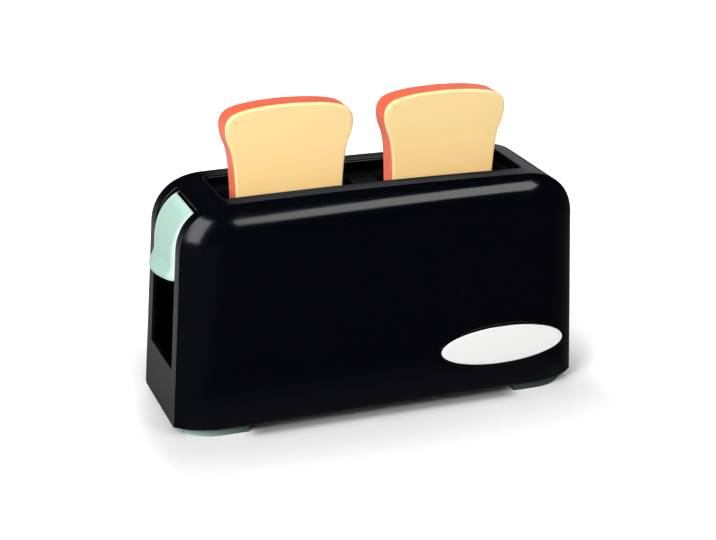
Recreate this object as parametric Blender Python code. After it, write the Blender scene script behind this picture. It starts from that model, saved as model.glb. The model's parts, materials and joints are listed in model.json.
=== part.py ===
"""Toy two-slice toaster: a moulded casing on a screwed base, a sprung lift worked by a thumb lever,
and two slices of play bread that stand in the lift.

Metres, +Z up. The toaster stands on the floor at z = 0, its long side along X, its badge towards -Y
and its lever at the -X end. The origin is the middle of the whole toy's footprint.
"""
import math

import bmesh
import bpy
from mathutils import Matrix, Vector

# General clearances and cutting
gap = 0.0003
overrun = 0.004
round_sides = 12

# Casing
casing_length = 0.185
casing_depth = 0.0636
casing_height = 0.0964
ground_gap = 0.0035
wall = 0.0022
end_lean_share = 0.057
face_lean_share = 0.010
band_lean_share = 0.0143
band_width = 0.0477
pillow_side = 0.0196
pillow_top = 0.015
face_corner_x = 0.0047
face_corner_z = 0.0077
corner_power = 2.32
pillow_angle = math.radians(50.8)
top_crown = 0.0007

# Bread slot in the top and lever channel in the end
slot_from_end = 0.02555
slot_width = 0.0286
slot_corner = 0.0022
slot_rim_drop = 0.0014
channel_width = 0.0324
channel_sill = 0.0239
channel_over_top = 0.01385

# Badge on the front
badge_length = 0.0582
badge_height = 0.0173
badge_from_end = 0.0381
badge_up = 0.0207
badge_thickness = 0.001
badge_seat_depth = 0.0012
badge_pad_margin = 0.0016
badge_peg_radius = 0.001
badge_peg_spread = 0.030

# Slices of play bread, each a shell with a pressed-in front
slice_height = 0.0695
slice_between = 0.014
slice_from_slot_end = 0.00425
slice_thickness = 0.0120
slice_front_thickness = 0.0014
slice_front_edge = 0.0016
slice_plug = 0.0012
slice_shell = 0.002
slice_back_edge = 0.001
slice_slack = 0.0008
slice_forward = 0.0006
slice_peg_radius = 0.002
slice_peg_up_share = (0.25, 0.78)
slice_lift_out = 0.045
# Half outline from the foot to the middle of the crown: across as shares of half the width, up as
# shares of the height.
slice_outline_share = (
    (0.80, 0.00), (0.82, 0.25), (0.84, 0.50), (0.863, 0.64), (0.902, 0.735), (0.975, 0.81),
    (1.00, 0.88), (0.955, 0.937), (0.80, 0.972), (0.45, 0.992), (0.00, 1.00),
)

# Bread guide under the slot
guide_lip = 0.0016
guide_plate = 0.0014
guide_wall = 0.0012
guide_depth = 0.010
window_end_clearance = 0.0012
window_side_clearance = 0.0019
guide_ear_thickness = 0.002
guide_ear_width = 0.007
guide_screw_from_end = 0.0151
guide_screw_from_collar = 0.0109
boss_radius = 0.003
boss_root = 0.0009

# Lift: carriage, rods and springs
rod_radius = 0.0015
rod_from_end = 0.0205
rod_foot = 0.0045
rod_seat_radius = 0.0046
rod_seat_height = 0.005
rod_cap_radius = 0.0032
rod_cap_wall = 0.001
rod_cap_height = 0.0027
sleeve_radius = 0.004
sleeve_foot_drop = 0.001
ledge_half_width = 0.006
ledge_thickness = 0.003
tray_below_top = 0.0355
tray_thickness = 0.0024
tray_width = 0.017
rail_thickness = 0.0014
rail_height = 0.005
rail_clearance = 0.0009
stop_rib_clearance = 0.0012
spring_radius = 0.0032
spring_wire = 0.0009
spring_curls = 9
spring_end_curls = 1
spring_end_pitch = 0.0015

# Thumb lever
lever_side_gap = 0.0006
lever_top_gap = 0.0014
lever_top_sink = 0.0012
lever_proud = 0.001
lever_full_over_bottom = 0.0101
lever_rise_power = 0.7
lever_edge = 0.0012
lever_edge_power = 6
lever_wall = 0.0024
lever_bottom_over_tray = 0.0015
lever_stop_gap = 0.0009
tab_reach = 0.0046
tab_flare_up = 0.0012
tab_flare_height = 0.004
tab_foot_round = 0.0005
stem_half_width = 0.011
stem_up = 0.0006
stem_height = 0.012
stem_length = 0.0082
pad_thickness = 0.0025
arm_half_width = 0.0035

# Base plate, feet and screws
base_thickness = 0.0024
base_boss_from_end = 0.0425
base_boss_from_face = 0.0063
base_boss_radius = 0.0048
base_boss_height = 0.020
screw_radius = 0.0012
screw_head_radius = 0.0026
screw_head_height = 0.0011
base_screw_length = 0.011
guide_screw_length = 0.008
lever_screw_length = 0.008
lever_screw_y = 0.007
foot_end_inset = 0.0044
foot_front_inset = 0.0014
foot_length = 0.0266
foot_peg_radius = 0.002
foot_peg_y = 0.014
foot_peg_rise = 0.0009

# Worked out from the values above
casing_top = ground_gap + casing_height
corner_z = casing_top - top_crown - face_corner_z - pillow_top
slot_length = casing_length - 2 * slot_from_end
slice_width = (slot_length - slice_between) / 2 - slice_from_slot_end
slice_pitch = slice_width + slice_between
half_thickness = slice_thickness / 2
window_half_length = slice_width / 2 + window_end_clearance
window_half_width = half_thickness + window_side_clearance
collar_half_length = slice_pitch / 2 + window_half_length + guide_wall
collar_half_width = window_half_width + guide_wall
plate_half_length = slot_length / 2 + guide_lip
plate_half_width = slot_width / 2 + guide_lip
guide_screw_x = collar_half_length - guide_screw_from_end
guide_screw_y = collar_half_width + guide_screw_from_collar
rod_from_middle = casing_length / 2 - rod_from_end
base_boss_x = casing_length / 2 - base_boss_from_end
base_boss_y = casing_depth / 2 - base_boss_from_face
tray_top = casing_top - tray_below_top
tray_bottom = tray_top - tray_thickness
slice_foot = tray_top + gap
lever_bottom = tray_top + lever_bottom_over_tray
lever_full_z = lever_bottom + lever_full_over_bottom
sill_top = ground_gap + channel_sill
lift_travel = lever_bottom - sill_top - lever_stop_gap
base_top = ground_gap + base_thickness
seat_top = base_top + rod_seat_height
spring_foot = seat_top + gap


def end_x(z):
    """Distance of an end of the casing from the middle, at a height on its straight part."""
    return casing_length / 2 - end_lean_share * (z - ground_gap)


def face_y(z):
    return casing_depth / 2 - face_lean_share * (z - ground_gap)


def band_y(z):
    return band_width / 2 - band_lean_share * (z - ground_gap)


def channel_y(z):
    """Half width of the lever channel, which narrows upwards with the casing."""
    return channel_width / 2 - band_lean_share * (z - sill_top)


corner_x = end_x(corner_z) - face_corner_x - pillow_side


def outline_x(z, inset):
    """Distance from the middle to the casing's end outline, drawn in by an inset, at a height."""
    if z <= corner_z:
        return end_x(z) - inset
    across = face_corner_x + pillow_side - inset
    up = face_corner_z + pillow_top - inset
    rise_share = min((z - corner_z) / up, 1)
    return corner_x + across * (1 - rise_share ** corner_power) ** (1 / corner_power)


def outline_z(x, inset):
    """Height of the casing's top outline, drawn in by an inset, at a distance from the middle."""
    if x <= corner_x:
        return casing_top - inset - top_crown * (x / corner_x) ** 2
    across = face_corner_x + pillow_side - inset
    up = face_corner_z + pillow_top - inset
    reach_share = min((x - corner_x) / across, 1)
    return corner_z + up * (1 - reach_share ** corner_power) ** (1 / corner_power)


rim_bottom = outline_z(plate_half_length, wall) - slot_rim_drop
plate_top = rim_bottom - gap
plate_bottom = plate_top - guide_plate
ear_bottom = plate_top - guide_depth
ear_top = ear_bottom + guide_ear_thickness
ledge_top = ear_bottom + ledge_thickness
sleeve_top = ear_bottom - gap
sleeve_bottom = tray_bottom - sleeve_foot_drop
spring_top = sleeve_bottom - gap
channel_top_x = casing_length / 2 - channel_over_top
lever_top_x = channel_top_x + lever_top_gap
lever_top = outline_z(lever_top_x, lever_top_sink)
flare_top = lever_bottom + tab_flare_up + tab_flare_height
stem_bottom = lever_bottom + stem_up
stem_top = stem_bottom + stem_height
stem_outer = outline_x(stem_top, lever_wall / 2 - lever_proud)
stem_inner = stem_outer - stem_length
pad_outer = stem_inner - gap
pad_inner = pad_outer - pad_thickness
screw_z = stem_bottom + stem_height / 2
tab_tip_x = end_x(lever_bottom + tab_foot_round) + lever_proud + tab_reach
middle_shift = (tab_tip_x - casing_length / 2) / 2
badge_x = casing_length / 2 - badge_from_end
badge_z = ground_gap + badge_up


def material(name, colour, roughness, metallic=0.0):
    made = bpy.data.materials.new(name)
    made.use_nodes = True
    shader = made.node_tree.nodes["Principled BSDF"]
    shader.inputs["Base Color"].default_value = (*colour, 1.0)
    shader.inputs["Roughness"].default_value = roughness
    shader.inputs["Metallic"].default_value = metallic
    made.diffuse_color = (*colour, 1.0)
    return made


def add_box(bm, corner, opposite):
    middle = (Vector(corner) + Vector(opposite)) / 2
    size = [abs(a - b) for a, b in zip(corner, opposite)]
    place = Matrix.Translation(middle) @ Matrix.Diagonal((*size, 1))
    bmesh.ops.create_cube(bm, size=1, matrix=place)


def add_rod(bm, start, end, radius, sides=round_sides):
    """A round bar from start to end, along any direction."""
    start, end = Vector(start), Vector(end)
    turn = (end - start).to_track_quat("Z", "Y").to_matrix().to_4x4()
    place = Matrix.Translation((start + end) / 2) @ turn
    bmesh.ops.create_cone(bm, cap_ends=True, segments=sides, radius1=radius, radius2=radius,
                          depth=(end - start).length, matrix=place)


def add_loft(bm, loops):
    """A closed body through loops of points, one after another, with its ends capped."""
    rings = [[bm.verts.new(point) for point in loop] for loop in loops]
    count = len(rings[0])
    faces = [bm.faces.new(rings[0]), bm.faces.new(rings[-1][::-1])]
    for lower, upper in zip(rings, rings[1:]):
        for i in range(count):
            j = (i + 1) % count
            faces.append(bm.faces.new((lower[j], lower[i], upper[i], upper[j])))
    bmesh.ops.recalc_face_normals(bm, faces=faces)


def make(name, bm, surface, parent, place=(0, 0, 0), smooth_angle=math.radians(35)):
    """A named sub-part from a bmesh, placed under its parent."""
    mesh = bpy.data.meshes.new(name)
    bm.to_mesh(mesh)
    bm.free()
    mesh.materials.append(surface)
    mesh.shade_smooth()
    mesh.set_sharp_from_angle(angle=smooth_angle)
    piece = bpy.data.objects.new(name, mesh)
    bpy.context.collection.objects.link(piece)
    piece.parent = parent
    piece.location = place
    return piece


def combine(piece, bm, operation, label):
    """Cut a form out of a piece, or join it on, with a Boolean that stays live."""
    mesh = bpy.data.meshes.new(f"{piece.name}_{label}")
    bm.to_mesh(mesh)
    bm.free()
    tool = bpy.data.objects.new(f"{piece.name}_{label}", mesh)
    bpy.context.collection.objects.link(tool)
    tool.parent = piece
    tool.hide_render = True
    tool.display_type = "WIRE"
    step = piece.modifiers.new(label, "BOOLEAN")
    step.operation = operation
    step.solver = "EXACT"
    step.object = tool


def empty(name, parent, place=(0, 0, 0)):
    made = bpy.data.objects.new(name, None)
    bpy.context.collection.objects.link(made)
    made.parent = parent
    made.location = place
    return made


def outline_rows(inset, foot_z, corner_steps=8, top_steps=3):
    """Rows round the casing's outline from the -X foot over the top to the +X foot. Each row holds
    its point on the narrow band and its point on the broad face, both as (x, z)."""
    rows = [((end_x(foot_z) - inset, foot_z), (end_x(foot_z) - pillow_side, foot_z))]
    for step in range(corner_steps + 1):
        angle = math.pi / 2 * step / corner_steps
        across = abs(math.cos(angle)) ** (2 / corner_power)
        up = math.sin(angle) ** (2 / corner_power)
        band = (corner_x + (face_corner_x + pillow_side - inset) * across,
                corner_z + (face_corner_z + pillow_top - inset) * up)
        face = (corner_x + face_corner_x * across, corner_z + face_corner_z * up)
        rows.append((band, face))
    for step in range(1, top_steps + 1):
        along = 1 - step / top_steps
        drop = top_crown * along ** 2
        rows.append(((corner_x * along, casing_top - inset - drop),
                     (corner_x * along, casing_top - pillow_top - drop)))
    mirrored = [((-band[0], band[1]), (-face[0], face[1])) for band, face in rows]
    return mirrored + rows[-2::-1]


def pillow_steps(count=5):
    """Shares across the pillow edge, from the band to the face: inwards and outwards."""
    steps = []
    for step in range(count + 1):
        angle = pillow_angle * (1 - step / count)
        inward = 1 - math.sin(angle) / math.sin(pillow_angle)
        outward = 1 - (1 - math.cos(angle)) / (1 - math.cos(pillow_angle))
        steps.append((inward, outward))
    return steps


def add_casing_form(bm, inset, foot_z):
    """The casing's outer form, drawn in by an inset and closed flat at its foot."""
    front = pillow_steps()[::-1]
    columns = [(-1, step) for step in front] + [(1, step) for step in front[::-1]]
    grid = []
    for band, face in outline_rows(inset, foot_z):
        line = []
        for side, (inward, outward) in columns:
            x = band[0] + (face[0] - band[0]) * inward
            z = band[1] + (face[1] - band[1]) * inward
            narrow = band_y(band[1]) - inset
            broad = face_y(z) - inset
            line.append(bm.verts.new((x, side * (narrow + (broad - narrow) * outward), z)))
        grid.append(line)
    faces = []
    for lower, upper in zip(grid, grid[1:]):
        for j in range(len(columns) - 1):
            faces.append(bm.faces.new((lower[j], lower[j + 1], upper[j + 1], upper[j])))
    faces.append(bm.faces.new([line[0] for line in grid]))
    faces.append(bm.faces.new([line[-1] for line in reversed(grid)]))
    faces.append(bm.faces.new(grid[0] + grid[-1][::-1]))
    bmesh.ops.recalc_face_normals(bm, faces=faces)


def plan_quarter(z, inset, end_inset):
    """A quarter of the casing's plan outline at a height, from its end round to its broad face,
    drawn in all round and a little more at the end."""
    narrow, broad = band_y(z) - inset, face_y(z) - inset
    points = []
    for inward, outward in pillow_steps():
        x = end_x(z) - inset - (pillow_side - inset) * inward - end_inset * (1 - inward)
        points.append((x, narrow + (broad - narrow) * outward))
    return points


def prism_loops(points, low, high):
    return [[(x, y, z) for x, y in points] for z in (low, high)]


def oval_loop(half_length, half_height, depth, sides=40):
    """An oval on the badge's plane, a depth behind the casing's front face."""
    points = []
    for i in range(sides):
        angle = 2 * math.pi * i / sides
        z = badge_z + half_height * math.sin(angle)
        points.append(Vector((badge_x + half_length * math.cos(angle), depth - face_y(z), z)))
    return points


def corners(x, y):
    return [(sx * x, sy * y) for sx in (-1, 1) for sy in (-1, 1)]


def rounded_rectangle(half_x, half_y, radius, steps=3):
    points = []
    for quarter, (sx, sy) in enumerate(((1, 1), (-1, 1), (-1, -1), (1, -1))):
        for step in range(steps + 1):
            angle = math.pi / 2 * (quarter + step / steps)
            points.append((sx * (half_x - radius) + radius * math.cos(angle),
                           sy * (half_y - radius) + radius * math.sin(angle)))
    return points


def make_casing(parent, surface):
    bm = bmesh.new()
    add_casing_form(bm, 0, ground_gap)
    casing = make("casing", bm, surface, parent)

    pad = bmesh.new()
    pad_half = badge_length / 2 + badge_pad_margin, badge_height / 2 + badge_pad_margin
    skin = wall / 12
    add_loft(pad, [oval_loop(*pad_half, skin), oval_loop(*pad_half, wall)])
    combine(casing, pad, "UNION", "badge_pad")

    core = bmesh.new()
    add_casing_form(core, wall, ground_gap - overrun)
    combine(casing, core, "DIFFERENCE", "core")

    bosses = bmesh.new()
    rim = rounded_rectangle(plate_half_length, plate_half_width, slot_corner)
    add_loft(bosses, prism_loops(rim, rim_bottom, casing_top - top_crown - wall / 2))
    for x, y in corners(base_boss_x, base_boss_y):
        add_rod(bosses, (x, y, base_top + gap), (x, y, base_top + gap + base_boss_height),
                base_boss_radius)
    for x, y in corners(guide_screw_x, guide_screw_y):
        add_rod(bosses, (x, y, ear_top + gap), (x, y, outline_z(x, wall) + boss_root), boss_radius)
    combine(casing, bosses, "UNION", "bosses")

    cuts = bmesh.new()
    slot = rounded_rectangle(slot_length / 2, slot_width / 2, slot_corner)
    add_loft(cuts, prism_loops(slot, plate_top, casing_top + overrun))
    channel = []
    for z in (sill_top, casing_top + overrun):
        across = channel_y(z)
        outside = -casing_length / 2 - overrun
        channel.append([(outside, -across, z), (-channel_top_x, -across, z),
                        (-channel_top_x, across, z), (outside, across, z)])
    add_loft(cuts, channel)
    seat_half = badge_length / 2 + gap, badge_height / 2 + gap
    add_loft(cuts, [oval_loop(*seat_half, -overrun), oval_loop(*seat_half, badge_seat_depth)])
    for x, y in corners(base_boss_x, base_boss_y):
        add_rod(cuts, (x, y, base_top - overrun), (x, y, base_top + base_screw_length),
                screw_radius + gap)
    for x, y in corners(guide_screw_x, guide_screw_y):
        add_rod(cuts, (x, y, ear_top - gap), (x, y, ear_bottom + guide_screw_length + gap),
                screw_radius + gap)
    combine(casing, cuts, "DIFFERENCE", "cuts")

    peg_holes = bmesh.new()
    for side in (-1, 1):
        x = badge_x + side * badge_peg_spread / 2
        front = -face_y(badge_z)
        add_rod(peg_holes, (x, front, badge_z), (x, front + wall + overrun, badge_z),
                badge_peg_radius + gap, sides=10)
    combine(casing, peg_holes, "DIFFERENCE", "peg_holes")


def make_badge(parent, surface):
    bm = bmesh.new()
    half = badge_length / 2, badge_height / 2
    back = badge_seat_depth - gap
    add_loft(bm, [oval_loop(*half, back - badge_thickness), oval_loop(*half, back)])
    badge = make("badge", bm, surface, parent)
    pegs = bmesh.new()
    for side in (-1, 1):
        x = badge_x + side * badge_peg_spread / 2
        front = -face_y(badge_z)
        add_rod(pegs, (x, front + back - badge_thickness / 2, badge_z),
                (x, front + wall + badge_thickness, badge_z), badge_peg_radius, sides=10)
    combine(badge, pegs, "UNION", "pegs")


def make_base(parent, surface):
    bm = bmesh.new()
    quarter = plan_quarter(base_top, wall + gap, 0)
    plan = quarter + [(-x, y) for x, y in reversed(quarter)]
    plan += [(x, -y) for x, y in reversed(plan)]
    add_loft(bm, prism_loops(plan, ground_gap, base_top))
    plate = make("base_plate", bm, surface, parent)
    seats = bmesh.new()
    for side in (-1, 1):
        add_rod(seats, (side * rod_from_middle, 0, base_top - base_thickness / 2),
                (side * rod_from_middle, 0, seat_top), rod_seat_radius)
    combine(plate, seats, "UNION", "rod_seats")
    holes = bmesh.new()
    for side in (-1, 1):
        add_rod(holes, (side * rod_from_middle, 0, rod_foot - gap),
                (side * rod_from_middle, 0, seat_top + overrun), rod_radius + gap)
    for x, y in corners(base_boss_x, base_boss_y):
        add_rod(holes, (x, y, ground_gap - overrun), (x, y, ground_gap + screw_head_height + gap),
                screw_head_radius + gap)
    foot_x = end_x(ground_gap) - foot_end_inset - foot_length / 2
    for x, y in corners(foot_x, foot_peg_y):
        add_rod(holes, (x, y, ground_gap - overrun), (x, y, base_top + overrun),
                foot_peg_radius + gap)
    combine(plate, holes, "DIFFERENCE", "holes")
    screw_holes = bmesh.new()
    for x, y in corners(base_boss_x, base_boss_y):
        add_rod(screw_holes, (x, y, ground_gap), (x, y, base_top + overrun), screw_radius + gap)
    combine(plate, screw_holes, "DIFFERENCE", "screw_holes")


def make_foot(side, name, parent, surface):
    """A flat skid under one end, which follows the casing's plan outline."""
    outer = end_x(ground_gap) - foot_end_inset
    half = plan_quarter(ground_gap, foot_front_inset, foot_end_inset - foot_front_inset)
    half.append((outer - foot_length, half[-1][1]))
    plan = [(side * x, y) for x, y in half] + [(side * x, -y) for x, y in reversed(half)]
    bm = bmesh.new()
    add_loft(bm, prism_loops(plan, 0, ground_gap - gap))
    foot = make(name, bm, surface, parent)
    pegs = bmesh.new()
    for y in (-foot_peg_y, foot_peg_y):
        x = side * (outer - foot_length / 2)
        add_rod(pegs, (x, y, ground_gap / 2), (x, y, base_top + foot_peg_rise), foot_peg_radius)
    combine(foot, pegs, "UNION", "pegs")


def make_screws(name, places, direction, length, parent, surface):
    """Round-headed screws, numbered. Each place is the middle of the underside of the head."""
    way = Vector(direction)
    for number, place in enumerate(places, start=1):
        bm = bmesh.new()
        add_rod(bm, -way * screw_head_height, (0, 0, 0), screw_head_radius)
        screw = make(f"{name}_{number}", bm, surface, parent, place)
        shank = bmesh.new()
        add_rod(shank, -way * screw_head_height / 2, way * length, screw_radius)
        combine(screw, shank, "UNION", "shank")


def make_guide(parent, surface):
    """The bread guide: a plate under the slot with a walled window for each slice."""
    bm = bmesh.new()
    plate = rounded_rectangle(plate_half_length, plate_half_width, slot_corner)
    add_loft(bm, prism_loops(plate, plate_bottom, plate_top))
    guide = make("slot_guide", bm, surface, parent)

    collar = bmesh.new()
    add_box(collar, (-collar_half_length, -collar_half_width, ear_bottom),
            (collar_half_length, collar_half_width, plate_top - guide_plate / 2))
    combine(guide, collar, "UNION", "collar")

    ears = bmesh.new()
    for side in (-1, 1):
        for x in (-guide_screw_x, guide_screw_x):
            add_box(ears, (x - guide_ear_width / 2, side * (collar_half_width - guide_wall / 2),
                           ear_bottom),
                    (x + guide_ear_width / 2, side * (guide_screw_y + boss_radius), ear_top))
        add_box(ears, (side * (collar_half_length - guide_wall / 2), -ledge_half_width, ear_bottom),
                (side * (rod_from_middle + sleeve_radius), ledge_half_width, ledge_top))
    combine(guide, ears, "UNION", "ears")

    cuts = bmesh.new()
    for side in (-1, 1):
        x = side * slice_pitch / 2
        window = rounded_rectangle(window_half_length, window_half_width, slot_corner)
        add_loft(cuts, prism_loops([(x + across, y) for across, y in window],
                                   ear_bottom - overrun, plate_top + overrun))
        add_rod(cuts, (side * rod_from_middle, 0, ear_bottom - overrun),
                (side * rod_from_middle, 0, ledge_top + overrun), rod_radius + gap)
    bridge_half = slice_pitch / 2 - window_half_length - guide_wall
    add_box(cuts, (-bridge_half, -window_half_width, ear_bottom - overrun),
            (bridge_half, window_half_width, plate_bottom))
    for x, y in corners(guide_screw_x, guide_screw_y):
        add_rod(cuts, (x, y, ear_bottom - overrun), (x, y, ear_top + overrun), screw_radius + gap)
    combine(guide, cuts, "DIFFERENCE", "windows")


def make_rod(side, parent, rod_surface, cap_surface):
    """A steel guide rod and the push-on cap that holds its top on the guide's ledge."""
    word = "left" if side < 0 else "right"
    cap_foot = ledge_top + gap
    rod_top = cap_foot + rod_cap_height - rod_cap_wall - gap
    bm = bmesh.new()
    add_rod(bm, (0, 0, rod_foot), (0, 0, rod_top), rod_radius)
    make(f"guide_rod_{word}", bm, rod_surface, parent, (side * rod_from_middle, 0, 0))
    bm = bmesh.new()
    add_rod(bm, (0, 0, cap_foot), (0, 0, cap_foot + rod_cap_height), rod_cap_radius)
    cap = make(f"rod_cap_{word}", bm, cap_surface, parent, (side * rod_from_middle, 0, 0))
    hole = bmesh.new()
    add_rod(hole, (0, 0, cap_foot - overrun), (0, 0, cap_foot + rod_cap_height - rod_cap_wall),
            rod_radius + gap)
    combine(cap, hole, "DIFFERENCE", "hole")


def spring_points(points_a_curl=8):
    """Middle line of a return spring, with a closed curl at each end."""
    foot, top = spring_foot + spring_wire / 2, spring_top - spring_wire / 2
    open_curls = spring_curls - 2 * spring_end_curls
    open_height = top - foot - 2 * spring_end_curls * spring_end_pitch
    points = []
    for i in range(spring_curls * points_a_curl + 1):
        turn = i / points_a_curl
        low = min(turn, spring_end_curls)
        high = max(turn - spring_end_curls - open_curls, 0)
        middle = turn - low - high
        z = foot + (low + high) * spring_end_pitch + middle * open_height / open_curls
        angle = 2 * math.pi * turn
        points.append(Vector((spring_radius * math.cos(angle), spring_radius * math.sin(angle), z)))
    return points


def spring_self_gap(points, points_a_curl=8):
    """Least gap between one curl's wire and another's, measured between the points."""
    least = min((points[i] - points[j]).length for i in range(len(points))
                for j in range(i + points_a_curl // 2, len(points)))
    return least - spring_wire


def make_spring(side, parent, surface):
    word = "left" if side < 0 else "right"
    curve = bpy.data.curves.new(f"return_spring_{word}", "CURVE")
    curve.dimensions = "3D"
    curve.bevel_depth = spring_wire / 2
    curve.bevel_resolution = 1
    curve.use_fill_caps = True
    points = spring_points()
    line = curve.splines.new("POLY")
    line.points.add(len(points) - 1)
    for spot, point in zip(line.points, points):
        spot.co = (*point, 1)
    curve.materials.append(surface)
    spring = bpy.data.objects.new(f"return_spring_{word}", curve)
    bpy.context.collection.objects.link(spring)
    spring.parent = parent
    spring.location = (side * rod_from_middle, 0, 0)
    print(f"{spring.name}: least gap to itself {spring_self_gap(points) * 1000:.2f} mm")


def make_carriage(parent, surface):
    """The lift's tray: a long plate on two sleeves, with rails and ribs round each slice's foot."""
    bm = bmesh.new()
    add_box(bm, (-rod_from_middle, -tray_width / 2, tray_bottom),
            (rod_from_middle, tray_width / 2, tray_top))
    carriage = make("lift_carriage", bm, surface, parent)

    rails = bmesh.new()
    rail_inner = half_thickness + rail_clearance
    rail_end = slice_pitch / 2 + slice_width / 2
    for side in (-1, 1):
        add_box(rails, (-rail_end, side * rail_inner, tray_top - tray_thickness / 2),
                (rail_end, side * (rail_inner + rail_thickness), tray_top + rail_height))
    combine(carriage, rails, "UNION", "rails")

    ribs = bmesh.new()
    foot_half = slice_outline_share[0][0] * slice_width / 2
    for side in (-1, 1):
        for way in (-1, 1):
            x = side * slice_pitch / 2 + way * (foot_half + stop_rib_clearance + rail_thickness / 2)
            add_box(ribs, (x - rail_thickness / 2, -rail_inner - rail_thickness / 2,
                           tray_top - tray_thickness / 2),
                    (x + rail_thickness / 2, rail_inner + rail_thickness / 2,
                     tray_top + rail_height / 2))
    combine(carriage, ribs, "UNION", "ribs")

    arm = bmesh.new()
    add_box(arm, (-pad_inner - pad_thickness / 2, -arm_half_width, tray_bottom),
            (-rod_from_middle + sleeve_radius / 2, arm_half_width, stem_bottom + stem_height / 2))
    combine(carriage, arm, "UNION", "arm")

    pad = bmesh.new()
    add_box(pad, (-pad_outer, -stem_half_width, tray_bottom + tray_thickness / 2),
            (-pad_inner, stem_half_width, stem_top))
    combine(carriage, pad, "UNION", "pad")

    sleeves = bmesh.new()
    for side in (-1, 1):
        add_rod(sleeves, (side * rod_from_middle, 0, sleeve_bottom),
                (side * rod_from_middle, 0, sleeve_top), sleeve_radius)
    combine(carriage, sleeves, "UNION", "sleeves")

    bores = bmesh.new()
    for side in (-1, 1):
        add_rod(bores, (side * rod_from_middle, 0, sleeve_bottom - overrun),
                (side * rod_from_middle, 0, sleeve_top + overrun), rod_radius + gap)
    for y in (-lever_screw_y, lever_screw_y):
        add_rod(bores, (-pad_outer - overrun, y, screw_z), (-pad_inner + overrun / 2, y, screw_z),
                screw_radius + gap)
    combine(carriage, bores, "DIFFERENCE", "bores")


def lever_stand(z):
    """How far the lever's front stands proud of the casing at a height. Its top end is sunk."""
    down = min(max((lever_top - z) / (lever_top - lever_full_z), 0), 1)
    return (lever_proud + lever_top_sink) * down ** lever_rise_power - lever_top_sink


def tab_share(z):
    """How far the thumb tab has flared out at a height: 0 on the plain lever, 1 at the tab."""
    down = min(max((flare_top - z) / tab_flare_height, 0), 1)
    return down * down * (3 - 2 * down)


def lever_row(z, drawn_in, columns=12):
    """One row round the lever at a height: its front from side to side, then its back."""
    half_width = channel_y(z) - lever_side_gap
    front_x = outline_x(z, -lever_stand(z)) - drawn_in
    inner_z = min(z, outline_z(lever_top_x, lever_top_sink + lever_wall))
    inner_x = max(outline_x(inner_z, lever_wall - lever_stand(z)), lever_top_x)
    front, back = [], []
    for i in range(columns + 1):
        across = math.sin(math.pi * (i / columns - 1 / 2))
        edge = lever_edge * (1 - (1 - abs(across) ** lever_edge_power) ** (1 / lever_edge_power))
        reach = tab_reach * tab_share(z) * (1 - across ** 2) - edge
        front.append((-front_x - reach, half_width * across, z))
        back.append((-inner_x, half_width * across, inner_z))
    return front + back[::-1]


def make_lever(parent, surface):
    """The thumb lever: a curved skin that follows the casing's end and flares into a D-shaped tab."""
    corner_rows, flare_rows = 6, 3
    heights = [lever_top + (flare_top - lever_top) * math.sin(math.pi / 2 * i / corner_rows) ** 1.4
               for i in range(corner_rows + 1)]
    heights += [flare_top - tab_flare_height * i / flare_rows for i in range(1, flare_rows + 1)]
    rows = [lever_row(z, 0) for z in heights + [lever_bottom + tab_foot_round]]
    rows.append(lever_row(lever_bottom, tab_foot_round))
    bm = bmesh.new()
    add_loft(bm, rows)
    lever = make("thumb_lever", bm, surface, parent)

    stem = bmesh.new()
    add_box(stem, (-stem_outer, -stem_half_width, stem_bottom),
            (-stem_inner, stem_half_width, stem_top))
    combine(lever, stem, "UNION", "stem")
    holes = bmesh.new()
    for y in (-lever_screw_y, lever_screw_y):
        add_rod(holes, (-pad_inner - lever_screw_length - gap, y, screw_z),
                (-stem_inner + overrun / 2, y, screw_z), screw_radius + gap)
    combine(lever, holes, "DIFFERENCE", "holes")


def catmull_rom(points, steps):
    """A smooth curve through the points, with a number of steps in each stretch."""
    first = points[0] * 2 - points[1]
    last = points[-1] * 2 - points[-2]
    chain = [first] + points + [last]
    curve = []
    for a, b, c, d in zip(chain, chain[1:], chain[2:], chain[3:]):
        for i in range(steps):
            t = i / steps
            curve.append((b * 2 + (c - a) * t + (a * 2 - b * 5 + c * 4 - d) * t ** 2
                          + (b * 3 - a - c * 3 + d) * t ** 3) / 2)
    return curve + [points[-1]]


def slice_loop(inset, y, steps=2):
    """A slice's outline drawn in all round by an inset, in its own frame, at a depth."""
    half = [Vector((across * slice_width / 2, up * slice_height))
            for across, up in slice_outline_share]
    half[-1].x = 0
    smooth = catmull_rom(half, steps)
    middle = slice_height / 2
    across = 1 - inset / (slice_width / 2)
    along = 1 - inset / middle
    right = [Vector((v.x * across, y, middle + (v.y - middle) * along)) for v in smooth]
    return right + [Vector((-v.x, y, v.z)) for v in reversed(right[:-1])]


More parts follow.
